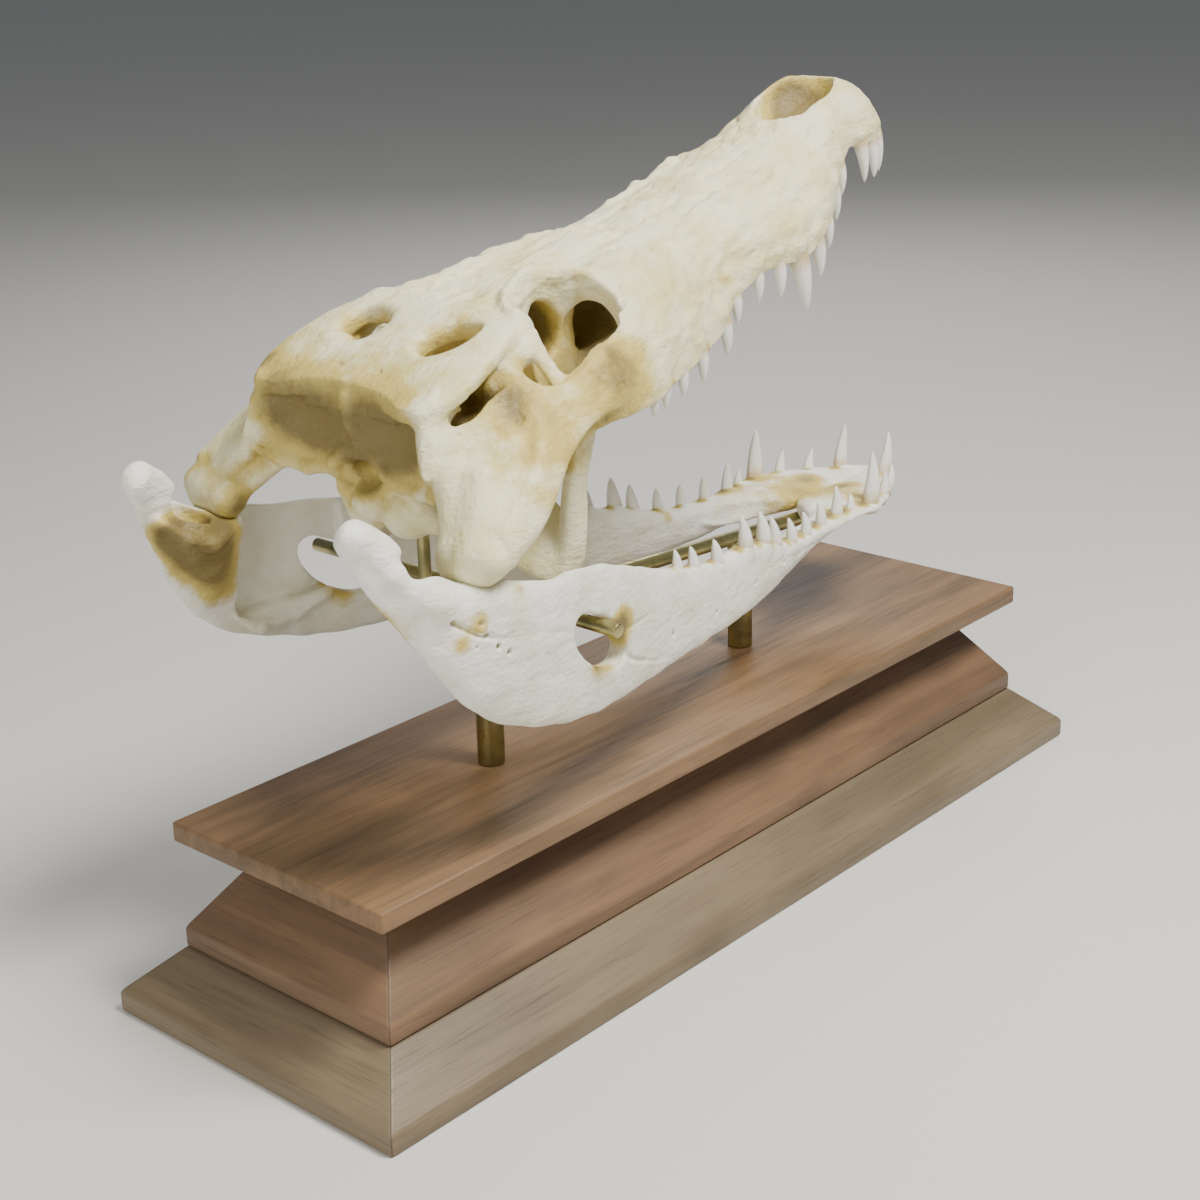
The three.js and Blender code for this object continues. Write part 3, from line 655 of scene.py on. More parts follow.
seam(skull, (150, 0.4), (300, 0.4), 9, 0.3, 0.7, 0.4)
seam(skull, (140, 13), (292, 8), 12, 0.9)
seam(skull, (292, 8), (318, 30), 5, 0.8)
seam(skull, (148, 24), (200, 20), 5, 1.2)
seam(skull, (150, 40), (118, 60), 5, 1.0)
eye_ridge = [on_snout(140, 29, 1.6), on_snout(165, 27, 1.2), on_snout(195, 22, 1.6)]
stroke(skull, eye_ridge, [3, 2.6, 2], fillet=4)
front_ridge = [on_snout(200, 26, 2), on_snout(235, 24, 0.8), on_snout(262, 26, 1.6)]
stroke(skull, front_ridge, [3, 3.4, 2.6], fillet=4)
furrow = [on_snout(144, 14, 0), on_snout(170, 12, 0.4), on_snout(205, 8, 0)]
stroke(skull, furrow, 5, depth=1.0, fillet=4)
print("seams drawn")

# %% [markdown]
# ## The upper skull: growth relief
# Each tooth stands in a swelling of the jaw margin, so the margin looks scalloped. The outer
# bone is wrinkled and lightly pitted, because skin grows straight onto it. Smooth random
# numbers give that relief, and it is kept off the thin bars near the jaw joint.

# %% Tooth swellings and wrinkles
UPPER_TEETH = [
    # u, y, socket height, tip height, radius
    (123, 63.5, 0, -9, 3.0), (133, 61, -3, -12, 3.0), (148, 57.5, -6, -17, 3.3),
    (168, 51.5, -10, -23, 3.6), (195, 43.5, -12, -27, 4.0), (209, 40.5, -8, -20, 3.4),
    (228, 39, -6, -20, 3.6), (241.5, 40.5, -8, -25, 4.0), (254, 42.5, -12, -39, 5.2),
    (269, 42, -12, -30, 4.4), (282, 39.5, -8, -23, 3.7), (299, 33.5, -3, -18, 3.5),
    (312, 29, 0, -12.5, 3.2), (336, 25, 1, -18.5, 3.7), (344, 25, -0.5, -20, 4.1),
    (352, 22, -2.5, -21, 3.8), (358.5, 15.5, -4, -17.5, 3.2), (363, 7, -4, -15, 2.9),
]


def swell(block, u, y, w, radius, lift):
    """A rounded swelling of the jaw margin round one tooth."""
    points = [(u, y - 0.5, w + radius * 1.15), (u, y - 1.5, w + radius + lift)]
    stroke(block, points, [radius * 1.3, radius * 0.9], fillet=3)


WRINKLE_GAIN = 1.8


def wrinkles(block, size, seed, stretch=(1, 1, 1)):
    """Smooth random numbers from -1 to 1, with features about size millimetres across."""
    rng = np.random.default_rng(seed)
    counts = [int(n * block.step / (size * s)) + 4 for n, s in zip(block.shape, stretch)]
    values = rng.uniform(-1, 1, counts).astype(np.float32)
    for axis in range(3):
        place = np.arange(block.shape[axis]) * block.step / (size * stretch[axis])
        first = place.astype(int)
        t = spread((place - first).astype(np.float32), axis)
        a, b, c = (values.take(first + k, axis) for k in range(3))
        values = a * (1 - t) ** 2 / 2 + b * (0.5 + t * (1 - t)) + c * t ** 2 / 2
    return values * WRINKLE_GAIN


def fade(values, start, end):
    """A soft step from 0 at start to 1 at end."""
    t = np.clip((values - start) / (end - start), 0, 1)
    return (t * t * (3 - 2 * t)).astype(np.float32)


for u, y, socket, tip, radius in UPPER_TEETH:
    swell(skull, u, y, socket, radius, 5)
u_axis, _, w_axis = skull.axes
at_skin = fade(-outer_form, 5.0, 2.5) * fade(skull.values, 4.5, 2.5)
sculpted = at_skin * fade(u_axis, 70, 100) * fade(w_axis, -12, 6)
sculpted = sculpted * (0.35 + 0.65 * fade(u_axis, 330, 300))
skull.values += 1.0 * sculpted * wrinkles(skull, 8, 3, (1.7, 1, 1))
skull.values += 0.75 * sculpted * wrinkles(skull, 3.6, 4, (1.8, 1, 1))
skull.values -= 0.9 * sculpted * fade(wrinkles(skull, 5.5, 8, (3.2, 0.9, 1)), 0.35, 0.9)
skull.values += 0.32 * (0.2 + sculpted) * wrinkles(skull, 1.9, 7, (1.5, 1, 1))
skull.values += 0.35 * wrinkles(skull, 16, 5)
pits = wrinkles(skull, 2.6, 6)
skull.values += 0.9 * at_skin * fade(pits, 0.7, 1.1) * fade(w_axis, 20, 34) * fade(u_axis, 150, 120)
print("relief added")

# %% [markdown]
# ## From a block to a mesh
# The skin of a block has a face in every cell, far more than needed. Decimate thins it where
# it is nearly flat. Each corner then remembers how deep it lies in a hollow, as two
# attributes that the bone's colour reads: hollows are painted ochre, as dust and as painted
# shade, and ridges stay pale.

# %% Reading a block at the corners of a mesh
def sampled(block, values, points):
    """The value at each point, blended from the eight cells round it."""
    place = (points - block.low) / block.step
    cell = np.clip(place.astype(int), 0, np.array(block.shape) - 2)
    t = np.clip(place - cell, 0, 1)
    total = 0
    for dx in (0, 1):
        for dy in (0, 1):
            for dz in (0, 1):
                share = np.abs(1 - np.array((dx, dy, dz)) - t)
                share = share[:, 0] * share[:, 1] * share[:, 2]
                total = total + share * values[cell[:, 0] + dx, cell[:, 1] + dy, cell[:, 2] + dz]
    return total


def corners(mesh):
    """Every corner of the mesh, as rows of x, y and z."""
    points = np.empty(len(mesh.vertices) * 3, np.float32)
    mesh.vertices.foreach_get("co", points)
    return points.reshape(-1, 3).astype(float)


def place_points(mesh, points):
    """Moves the corners to new places, given in millimetres."""
    mesh.vertices.foreach_set("co", np.ascontiguousarray(points * MM, np.float32).reshape(-1))
    mesh.update()


def remember(mesh, name, values):
    """Keeps one number per corner as an attribute of the mesh."""
    mesh.attributes.new(name, "FLOAT", "POINT").data.foreach_set(
        "value", np.ascontiguousarray(values, np.float32))


print("mesh helpers are ready")

# %% [markdown]
# ## Drawing the skin
# The relief can leave a few loose crumbs beside the bone, so only the body that holds the
# foremost corner is kept. The skin is drawn in the skull's own frame, and turned up by the
# gape once its stains are in place.

# %% Draw the skin of the upper skull
CRANIUM_FACES = 190000
CREASE_REACH, HOLLOW_REACH = 3, 11


def drop_crumbs(piece):
    """Keeps only the body that holds the foremost corner."""
    pick(piece)
    bpy.ops.object.mode_set(mode="EDIT")
    bpy.ops.mesh.select_all(action="DESELECT")
    bpy.ops.object.mode_set(mode="OBJECT")
    foremost = max(piece.data.vertices, key=lambda vertex: vertex.co.x)
    foremost.select = True
    bpy.ops.object.mode_set(mode="EDIT")
    bpy.ops.mesh.select_linked()
    bpy.ops.mesh.select_all(action="INVERT")
    bpy.ops.mesh.delete(type="VERT")
    bpy.ops.object.mode_set(mode="OBJECT")


def skin(block, name, triangles):
    """Draws the skin of a block as a mesh of about so many triangles."""
    grid = openvdb.FloatGrid(BAND * block.step)
    grid.copyFromArray(block.values)
    points, quads = grid.convertToQuads(isovalue=0.0)
    points = points * block.step + block.low
    corner = points[quads[:, 0]]
    normal = np.cross(points[quads[:, 1]] - corner, points[quads[:, 2]] - corner)
    if (corner * normal).sum() < 0:
        quads = quads[:, ::-1]
    piece = piece_of(name, points, quads.tolist())
    apply_modifier(piece, "DECIMATE", ratio=min(1.0, triangles / (2 * len(quads))))
    drop_crumbs(piece)
    print(name, "faces:", 2 * len(quads), "thinned to", len(piece.data.polygons))
    return piece


def note_hollows(block, mesh):
    """Remembers how much bone surrounds each corner, close by and farther out."""
    solid = (block.values < 0).astype(np.float32)
    points = corners(mesh)
    near = soften(solid, CREASE_REACH, 2)
    remember(mesh, "crease", sampled(block, near, points) - 0.5)
    far = soften(near, HOLLOW_REACH, 2)
    remember(mesh, "hollow", sampled(block, far, points) - 0.5)


def gaped(points):
    """Skull frame to world frame, both in millimetres."""
    c, s = math.cos(GAPE), math.sin(GAPE)
    u, y, w = points[:, 0], points[:, 1], points[:, 2]
    return np.stack([u * c - w * s, y, u * s + w * c], 1) + JAW_JOINT


whole = skull.mirrored()
# A little more bone on one side only: at the left roof opening and over the right quadrate.
whole.join(ball_in(whole, (52, 29, 49.5), (8, 9, 5.5)), 3)
stroke(whole, [(20, -55, 22), (5, -66, 6)], [4, 6], fillet=8)
stroke(whole, [(24, -68, 24), (5, -78, 7)], [4, 6], fillet=8)
cranium = skin(whole, "cranium", CRANIUM_FACES)
note_hollows(whole, cranium.data)
cranium_local = corners(cranium.data)

# %% [markdown]
# ## Stains and painted shade on bone
# Fat left in a museum skull works its way out as yellow and olive patches, mostly at the jaw
# joint, the back plate and the tooth sockets. The broad dark patches low on the back plate are
# also painted shade, since it faces away from the light. Each patch is a place, a size and a
# strength, and the mesh keeps their sum as an attribute.

# %% Paint stains and shade on the cranium
def patch_sum(points, patches):
    """The sum of round, soft-edged patches at each point."""
    total = np.zeros(len(points))
    for x, y, z, size, strength in patches:
        away = ((points - (x, y, z)) ** 2).sum(1) / size ** 2
        total += strength * np.exp(-away)
    return total


CRANIUM_STAINS_AND_SHADE = [
    # u, y, w, size, strength
    # The broad patches at u 24 to 28 on the back plate are mostly painted shade, since the plate
    # faces away from the light, with some olive stain.
    (28, 0, 36, 16, 0.9), (28, 22, 38, 16, 1.1), (28, -20, 38, 15, 1.0), (24, 26, 24, 14, 0.8),
    (24, -24, 22, 14, 0.8), (24, 40, 40, 13, 0.9), (24, -38, 34, 11, 0.7), (34, 52, 55, 10, 0.5),
    (24, 0, 18, 12, 0.6), (26, 8, -10, 12, 0.35), (58, -70, 22, 30, 0.5), (100, -68, 18, 28, 0.56),
    (60, 66, 20, 36, 0.25), (100, 62, 18, 30, 0.2), (60, 0, 56, 44, 0.16), (118, -40, 40, 22, 0.12),
    (22, -36, 36, 10, 0.5), (14, 50, 18, 7, 0.7), (14, -46, 20, 7, 0.6), (0, 58, 0, 9, 1.3),
    (4, 72, 2, 8, 0.9), (2, -76, 6, 8, 0.7), (30, 50, 55, 7, 0.8), (24, 34, 55, 6, 0.7),
    (26, -34, 55, 6, 0.6), (48, 50, 56, 5, 0.5), (20, 0, 14, 8, 1.3), (21, 13, 3, 6, 0.9),
    (66, -24, 40, 14, 1.2), (66, 24, 40, 14, 1.2), (47, -38, 36, 7, 1.6), (40, -47, 28, 8, 0.9),
    (52, -58, 34, 9, 0.5), (47, 38, 36, 7, 1.4), (120, -60, 14, 12, 0.25), (92, -66, 24, 8, 0.3),
    (60, -78, 8, 8, 0.5), (70, -58, -2, 6, 0.9), (32, -82, 10, 9, 0.45), (14, -84, 4, 7, 0.6),
    (327, 0, 14, 17, 1.3), (338, 8, 20, 12, 1.3), (108, -66, 16, 12, 0.35), (97, -70, 20, 10, 0.3),
    (55, -54, 36, 12, 0.75), (60, -66, 24, 10, 0.5), (44, -74, 16, 10, 0.4), (6, 84, 8, 9, 0.9),
    (16, 66, 10, 9, 0.6), (76, -56, 44, 7, 0.4), (122, 0, 22, 15, 1.8), (150, 14, 10, 16, 1.8),
    (150, -14, 10, 16, 1.8), (112, 28, -4, 20, 0.9), (112, -28, -4, 20, 0.9),
    (90, -30, 16, 14, 0.9), (90, 30, 16, 14, 0.9),
    (108, -62, 28, 6, 0.5), (138, -30, 42, 8, 0.35), (206, -40, 2, 5, 0.35), (300, -30, 20, 6, 0.3),
]
for way in (1, -1):
    for u, y, socket, tip, radius in UPPER_TEETH:
        CRANIUM_STAINS_AND_SHADE.append((u + radius + 1.5, way * (y - 1), socket - 1, 3.5, 0.9))
remember(cranium.data, "stain_and_shade", patch_sum(cranium_local, CRANIUM_STAINS_AND_SHADE))
place_points(cranium.data, gaped(cranium_local))
smooth_faces(cranium)
print("cranium placed")

# %% [markdown]
# ## The lower jaw
# Each half of the lower jaw is one long blade that is deep at the hinge and slim at the
# front, where the halves meet at the chin. One half is modelled and the other is its mirror
# image, with a fine seam at the chin. The hollow on the inner face held the biting muscle, and
# the cup at the rear is cut by the skull's own joint, so the two fit each other.

# %% Sections of the lower jaw
RAMUS = [
    # lower edge, upper edge, thickness, flare: from the rear tip forward
    (-233, 60, 234, -225, 60, 240, 7, 0), (-229, 63, 221, -217, 64, 236, 10, 0.3),
    (-221, 68, 206, -206, 68, 223, 13, 0.4), (-210, 75, 188, -196, 71, 212, 18, 0.5),
    (-199, 79, 171, -184, 71.5, 211, 24, 0.5), (-186, 80, 157.5, -168, 77, 207, 17, 0.4),
    (-170, 80, 149, -150, 79.5, 202.5, 13, 0.2), (-150, 79.5, 142.5, -132, 77.5, 200.5, 10, 0),
    (-128, 76.5, 137.5, -112, 74.5, 197, 10, 0), (-100, 71.5, 135.5, -88, 70, 188, 10.5, 0),
    (-70, 65, 134.5, -62, 63, 178.5, 11, 0), (-40, 58.5, 134, -36, 57, 170.5, 12, 0),
    (-5, 51.5, 132.5, -5, 50, 165, 12.5, 0), (30, 44.5, 131, 30, 43, 161.5, 12.5, 0.1),
    (60, 38, 131.5, 60, 37.5, 153.5, 13, 0.2), (85, 33, 134, 85, 34, 152, 13.5, 0.2),
    (108, 27.5, 138, 108, 31, 152.5, 15, 0.2),
]
CHIN = [
    # x, outer half width, inner half width, bottom, top
    (82, 37.5, 36.5, 143, 147), (90, 38.2, 33.5, 140.5, 149), (98, 39, 28, 139, 150.5),
    (105, 39.7, 20.5, 139.2, 152), (112, 40, 13, 140.5, 153), (124, 40.5, 0, 142.5, 153.5),
    (138, 40.5, 0, 143, 153.5), (152, 36.5, 0, 143.5, 153), (166, 28.5, 0, 144.5, 152),
    (177, 20, 0, 145.5, 152), (187, 11.5, 0, 146.5, 151.5), (194, 4, 0, 148, 150.5),
]
LOWER_TEETH = [
    # x, y, socket height, tip x, tip height, radius
    (182, 13, 151, 187, 173, 4.0), (169, 24.5, 150, 173, 161, 3.2),
    (153, 31.5, 151, 156, 163, 3.2), (136.5, 35.5, 152, 138, 177.5, 4.8),
    (120, 34, 152, 121, 160, 3.0), (109.5, 33, 152, 110, 166.5, 3.6),
    (93.5, 35, 151.5, 92, 164, 3.4), (77.5, 37.5, 151.5, 76, 163, 3.3),
    (62, 40, 153, 60.5, 164.5, 3.3), (45.5, 42.5, 156.5, 43, 170, 3.8),
    (34, 44.5, 161, 31.5, 176, 4.2), (16, 47.5, 164.5, 13.5, 179, 4.0),
    (-11, 52, 165, -12.5, 176, 3.6), (-33, 56, 169.5, -34, 179.5, 3.3),
    (-48, 59, 173.5, -48.5, 182.5, 3.0),
]
print("lower teeth each side:", len(LOWER_TEETH))

# %% Join the blade and the chin
CHIN_NARROWING = 0.28


def chin_section(columns, cosine, sine):
    x, outer, inner, bottom, top = columns
    y = (outer + inner) / 2 + (outer - inner) / 2 * power(cosine, 0.75)
    y = y * (1 - CHIN_NARROWING * np.maximum(-sine, 0) ** 0.7)
    return x, y, (top + bottom) / 2 + (top - bottom) / 2 * power(sine, 0.75)


jaw = Block((-240, -4, 126), (199, 94, 247), GRAIN)
x_axis, y_axis, z_axis = jaw.axes
jaw.join(tube_in(jaw, *blade(RAMUS, 44, 0.72)), 0.1)
jaw.join(tube_in(jaw, *section_tube(CHIN, chin_section)), 4)
jaw.join(ball_in(jaw, (-228.5, 62, 235.5), (6, 5, 7)), 4)
rear_edge = [(-226, 64, 235), (-217, 71, 220), (-206, 76, 208), (-193, 80, 199)]
stroke(jaw, rear_edge, [4, 3.2, 3, 2.6], fillet=4)
jaw.join(ball_in(jaw, (-202, 70, 206), (17, 13, 10), 0.85, 1), 5)
jaw.cut(ball_in(jaw, (-205, 67, 217), (15, 8.5, 8), 0.85, 1), 3)
cup_edge = [(-222, 60, 217), (-211, 57, 207), (-199, 57, 202), (-189, 60, 203)]
stroke(jaw, cup_edge, [1.6, 2.2, 2.2, 1.6], fillet=3)
print("blade and chin joined, cells in the block:", jaw.values.size)

# %% Hollow the jaw and fit it to the skull
OUTER_WALL = 4.2
SOCKET_GAP = 0.8


def in_world(points, quads, caps):
    return gaped(points), quads, caps


points, quads, caps = blade(RAMUS, 44, 0.72)
inner_part = tube_in(jaw, points - (0, OUTER_WALL, 0), quads, caps)
jaw.cut(np.maximum(inner_part, box_in(jaw, (-170, 40, 166), (-126, 90, 260)) - 7), 2)
inner_shelf = [(-178, 73, 160), (-165, 74.5, 152.5), (-146, 74.5, 152), (-128, 73, 158)]
stroke(jaw, inner_shelf, [1.4, 2.4, 2.4, 2], fillet=3)
jaw.cut(ball_in(jaw, (-119, 76, 167.5), (21.5, 30, 9.5), 0.64, 1), 2)
for rows in (QUADRATE, JUGAL, CHEEK_WEB):
    jaw.cut(tube_in(jaw, *in_world(*blade(rows))) - SOCKET_GAP, 1.5)
stroke(jaw, gaped(np.array(ROLLER, float)), ROLLER_RADII + 1.0, depth=8.0, fillet=2)
print("inner hollow, window and joint cup cut")

# %% Sockets, seams and vessel holes of the jaw
for x, y, socket, tip_x, tip, radius in LOWER_TEETH:
    swelling = [(x, y, socket - 4), (x, y, socket - radius * 0.7)]
    stroke(jaw, swelling, [radius * 1.15, radius * 1.1], fillet=3)
SEAMS = [
    [(-138, 84, 178), (-156, 87, 184), (-176, 88, 188), (-196, 85, 196), (-212, 77, 212)],
    [(-102, 78, 166), (-80, 74, 166), (-58, 70, 160), (-30, 64, 152), (10, 56, 144)],
    [(-104, 78, 158), (-92, 75, 150), (-70, 71, 142), (-48, 66, 137)],
]
for path in SEAMS:
    stroke(jaw, smooth_rows(path, 6), 1.1, depth=0.9, fillet=1)
VESSEL_HOLES = [
    # x, y where the hole ends inside the bone, z
    (-188, 85, 193), (-194, 86, 190), (-191, 86, 198), (-200, 86, 195), (-183, 84, 187),
    (-177, 82, 183), (-60, 65, 150), (-20, 57, 146), (20, 49, 146), (50, 43, 145), (80, 38, 143),
]
for x, y, z in VESSEL_HOLES:
    stroke(jaw, [(x, y, z), (x - 1, 99, z)], 0.9, depth=0.9, fillet=1.2)
# The outer bone is rougher behind the window than in front of it.
rear_side = fade(x_axis, -60, -120) * fade(z_axis, 205, 185)
jaw.values += 0.5 * rear_side * wrinkles(jaw, 6, 13, (1, 1, 2))
jaw.values += 0.35 * wrinkles(jaw, 7, 11, (1.8, 1, 1)) + 0.25 * wrinkles(jaw, 3, 12, (2, 1, 1))
print("jaw seams:", len(SEAMS), "and vessel holes:", len(VESSEL_HOLES))

# %% Draw the left half of the lower jaw and paint its stains and shade
CHIN_SEAM = 0.15
JAW_FACES = 150000
jaw.values = np.maximum(jaw.values, CHIN_SEAM - y_axis)
jaw_left = skin(jaw, "jaw_left", JAW_FACES)
note_hollows(jaw, jaw_left.data)
jaw_points = corners(jaw_left.data)
JAW_STAINS_AND_SHADE = [
    # x, y, z, size, strength
    # The broad patches from x -221 to -185, y 53 to 57, on the inner face behind the joint are
    # olive stain and painted shade under the skull.
    (128, 4, 153, 20, 0.34), (150, 8, 152, 14, 0.3), (-221, 57, 208, 9, 1.6),
    (-212, 55, 196, 12, 2.2), (-199, 54, 190, 14, 2.8), (-206, 53, 204, 9, 1.3),
    (-185, 56, 173, 13, 2.2), (-207, 63, 212, 11, 1.0), (-198, 65, 210, 8, 0.6),
    (-104, 76, 171, 7, 1.3), (-109, 72, 163, 8, 1.1), (132, 0, 153, 20, 0.45),
    (150, 12, 153, 7, 0.5), (-188, 62, 208, 8, 0.8), (-168, 86, 206, 6, 0.5),
    (-192, 90, 198, 5, 0.9), (-200, 86, 192, 4, 0.6), (-121, 74, 160, 9, 0.9),
    (-110, 76, 162, 7, 0.8), (110, 30, 150, 9, 0.5), (60, 34, 150, 6, 0.5),
    (136, 30, 152, 8, 0.5),
]
for x, y, socket, tip_x, tip, radius in LOWER_TEETH:
    JAW_STAINS_AND_SHADE.append((x - radius - 1.5, y, socket, 3.8, 1.1))
remember(jaw_left.data, "stain_and_shade", patch_sum(jaw_points, JAW_STAINS_AND_SHADE))
place_points(jaw_left.data, jaw_points)
smooth_faces(jaw_left)
print("left half placed")

# %% [markdown]
# ## The right half of the jaw
# A copy scaled by -1 is inside out, so its faces are turned outward again. A dried jaw is never
# quite even: this one sits a little askew on its rods, and its right half is slimmer below.

# %% Mirror it for the right half
def mirror_copy(piece, name):
    """The same piece on the other side of the middle plane."""
    pick(piece)
    bpy.ops.object.duplicate()
    twin = bpy.context.object
    twin.scale.y = -1
    settle(twin, name)
    face_outward(twin)
    return twin


SKEW, SKEW_FROM = 0.016, -60.0
LIFT = 5.5


def skewed(points):
    """The jaw sits a little askew on its rods: its tip lies toward the animal's left."""
    return points + np.maximum(points[:, :1] - SKEW_FROM, 0) * (0, SKEW, 0)


def lifted(points):
    """The right half is a little slimmer below, between its middle and the chin."""
    x, y, z = points.T
    share = fade(x, 0, 90) * fade(x, 185, 150) * fade(-y, 4, 24) * np.clip((152 - z) / 16, 0, 1)
    return points + (LIFT * share)[:, None] * (0, 0.25, 1)


jaw_right = mirror_copy(jaw_left, "jaw_right")
place_points(jaw_left.data, skewed(corners(jaw_left.data) / MM))
place_points(jaw_right.data, skewed(lifted(corners(jaw_right.data) / MM)))
print("lower jaw halves:", len(jaw_left.data.vertices), "corners each")

# %% [markdown]
# ## Teeth
# A crocodile tooth is a cone that curves back and inward, with a faint cutting edge fore and
# aft. One tooth function makes them all, because only length, girth and lean differ. Each
# has its root inside the jaw, and an attribute named crown tells the enamel where the gum
# was.

# %% Model the teeth
TOOTH_RINGS, TOOTH_SIDES = 22, 24
ROOT_DEPTH = 5.0
TIP_RADIUS = 0.12


def tooth(base, tip, radius, curl, inward):
    """A ringed cone on a bent axis, from a root below the socket to a blunt fine tip."""
    base, tip = np.array(base, float), np.array(tip, float)
    axis = tip - base
    root = base - axis / np.linalg.norm(axis) * ROOT_DEPTH
    share = np.linspace(0, 1, TOOTH_RINGS) ** 0.9
    bend = np.array(inward, float) * curl
    spine = root + (tip - root) * share[:, None] + bend * (4 * share * (1 - share))[:, None]
    # The cone swells a little above the gum and stays blunt, so it is never a straight spike.
    width = radius * 1.02 * (1 - share ** 1.7) ** 0.72 + 0.16 * (share > 0)
    width[-1] = TIP_RADIUS
    forward = np.cross(axis, (0, 1, 0))
    forward /= np.linalg.norm(forward)
    across = np.cross(forward, axis)
    across /= np.linalg.norm(across)
    cosine, sine = circle(TOOTH_SIDES)
    # The cutting edge stands out by 7 % fore and aft.
    edge = 1 + 0.07 * np.abs(cosine) ** 8
    rings = (
        spine[:, None, :]
        + forward[None, None, :] * (cosine * edge * width[:, None])[..., None]
        + across[None, None, :] * (sine * 0.88 * width[:, None])[..., None]
    )
    points, quads, caps = tube(rings)
    crown = np.concatenate([np.repeat(share, TOOTH_SIDES), [0, 1]])
    return points, quads, caps, crown


print("one tooth:", TOOTH_RINGS, "rings of", TOOTH_SIDES, "corners")

# %% Set the rows of teeth
TIP_BACK, TIP_OUT = 3, 1.5


def tooth_row(name, teeth, to_world):
    """One piece from many teeth, so a whole row takes one material."""
    points, faces, crowns, count = [], [], [], 0
    for corner_points, quads, caps, crown in teeth:
        points.append(to_world(corner_points))
        faces += (quads + count).tolist() + (caps + count).tolist()
        crowns.append(crown)
        count += len(corner_points)
    piece = piece_of(name, np.concatenate(points) * MM, faces)
    remember(piece.data, "crown", np.concatenate(crowns))
    smooth_faces(piece)
    face_outward(piece)
    return piece


upper = []
lower = []
for way in (1, -1):
    for u, y, socket, tip, radius in UPPER_TEETH:
        point = (u - TIP_BACK, way * (y + TIP_OUT), tip)
        upper.append(tooth((u, way * y, socket), point, radius, 1.3, (0.6, way * 0.8, 0)))
    for x, y, socket, tip_x, tip, radius in LOWER_TEETH:
        point = (tip_x, way * (y + 0.5), tip)
        lower.append(tooth((x, way * y, socket), point, radius, 1.2, (0.5, way * 0.8, 0)))
upper_teeth = tooth_row("upper_teeth", upper, gaped)
lower_teeth = tooth_row("lower_teeth", lower, skewed)
print("teeth:", len(upper), "above,", len(lower), "below")

# %% [markdown]
# ## Brass rods
# The mount is six plain brass rods: two posts, a sloping rail, a cross rod through the jaw
# windows on a short stem, and a rod up into the braincase. Each is a cylinder of its solid's
# size, and its ends get a small chamfer, as a cut and filed rod has.

# %% Turn the rods
SHARP_EDGE = math.radians(35)


def rod(name, start, end, radius, chamfer=0.5):
    """A straight rod with chamfered ends, from one end point to the other."""
    start, end = Vector(start) * MM, Vector(end) * MM
    bpy.ops.mesh.primitive_cylinder_add(
        vertices=64, radius=radius * MM, depth=(end - start).length, location=(start + end) / 2)
    piece = bpy.context.object
    piece.rotation_mode = "QUATERNION"
    piece.rotation_quaternion = (end - start).to_track_quat("Z", "Y")
    settle(piece, name)
    apply_modifier(piece, "BEVEL", width=chamfer * MM, segments=3, limit_method="ANGLE")
    pick(piece)
    bpy.ops.object.shade_smooth_by_angle(angle=SHARP_EDGE)
    return piece


POST_BASE = 88.0
POST_GAP = 0.5
RAIL_REAR, RAIL_FRONT, RAIL_RADIUS = (-142, 0, 160), (123, 0, 141), 3.5


def post_top(x):
    """The height at which a post meets the underside of the sloping rail."""
    share = (x - RAIL_REAR[0]) / (RAIL_FRONT[0] - RAIL_REAR[0])
    return RAIL_REAR[2] + (RAIL_FRONT[2] - RAIL_REAR[2]) * share - RAIL_RADIUS - POST_GAP


rods = [
    rod("post_rear_rod", (-104, 0, POST_BASE), (-104, 0, post_top(-104)), 6),
    rod("post_front_rod", (73, 0, POST_BASE), (73, 0, post_top(73)), 6),
    rod("rail_rod", RAIL_REAR, RAIL_FRONT, RAIL_RADIUS),
    rod("stem_rod", (-118.6, 0, 160), (-118.6, 0, 172), 2.5),
    rod("cross_rod", (-118.6, -89, 174), (-118.6, 89, 174), 3),
    rod("skull_rod", (-137, 0, 164), (-137, 0, 208.5), 2.7),
]
print("rods:", len(rods))

# %% [markdown]
# ## The plinth
# Three boards make the stepped plinth. The lower two are mitred mouldings with a short
# upright edge and a long slope, and the top is a flat board. A box is shaped from each
# solid's own corners, and a narrow bevel rounds the edges, since worked wood is never sharp.

# %% Shape the boards
def board(name, node, edge_height=None, slope=0.0, soft=1.2):
    """A board of its solid's size, or a moulding that slopes in above an upright edge."""
    low, high = (Vector(corner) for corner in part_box(node))
    bpy.ops.mesh.primitive_cube_add(size=1, location=(low + high) / 2)
    piece = bpy.context.object
    piece.scale = high - low
    settle(piece, name)
    if edge_height is not None:
        bpy.ops.object.mode_set(mode="EDIT")
        bpy.ops.mesh.select_all(action="SELECT")
        bpy.ops.mesh.bisect(
            plane_co=(0, 0, edge_height * MM), plane_no=(0, 0, 1), use_fill=False)
        bpy.ops.object.mode_set(mode="OBJECT")
        for vertex in piece.data.vertices:
            if vertex.co.z > high.z - 1e-5:
                vertex.co.x -= math.copysign(slope * MM, vertex.co.x)
                vertex.co.y -= math.copysign(slope * MM, vertex.co.y)
    apply_modifier(piece, "BEVEL", width=soft * MM, segments=4, limit_method="ANGLE",
                   angle_limit=math.radians(20), harden_normals=False)
    pick(piece)
    bpy.ops.object.shade_smooth_by_angle(angle=SHARP_EDGE)
    return piece


plinth_base = board("plinth_base", "plinth_bottom", 9.4, 21.3)
plinth_step = board("plinth_step", "plinth_middle", 38.3, 30)
plinth_board = board("plinth_board", "plinth_top")
print("boards:", plinth_base.name, plinth_step.name, plinth_board.name)

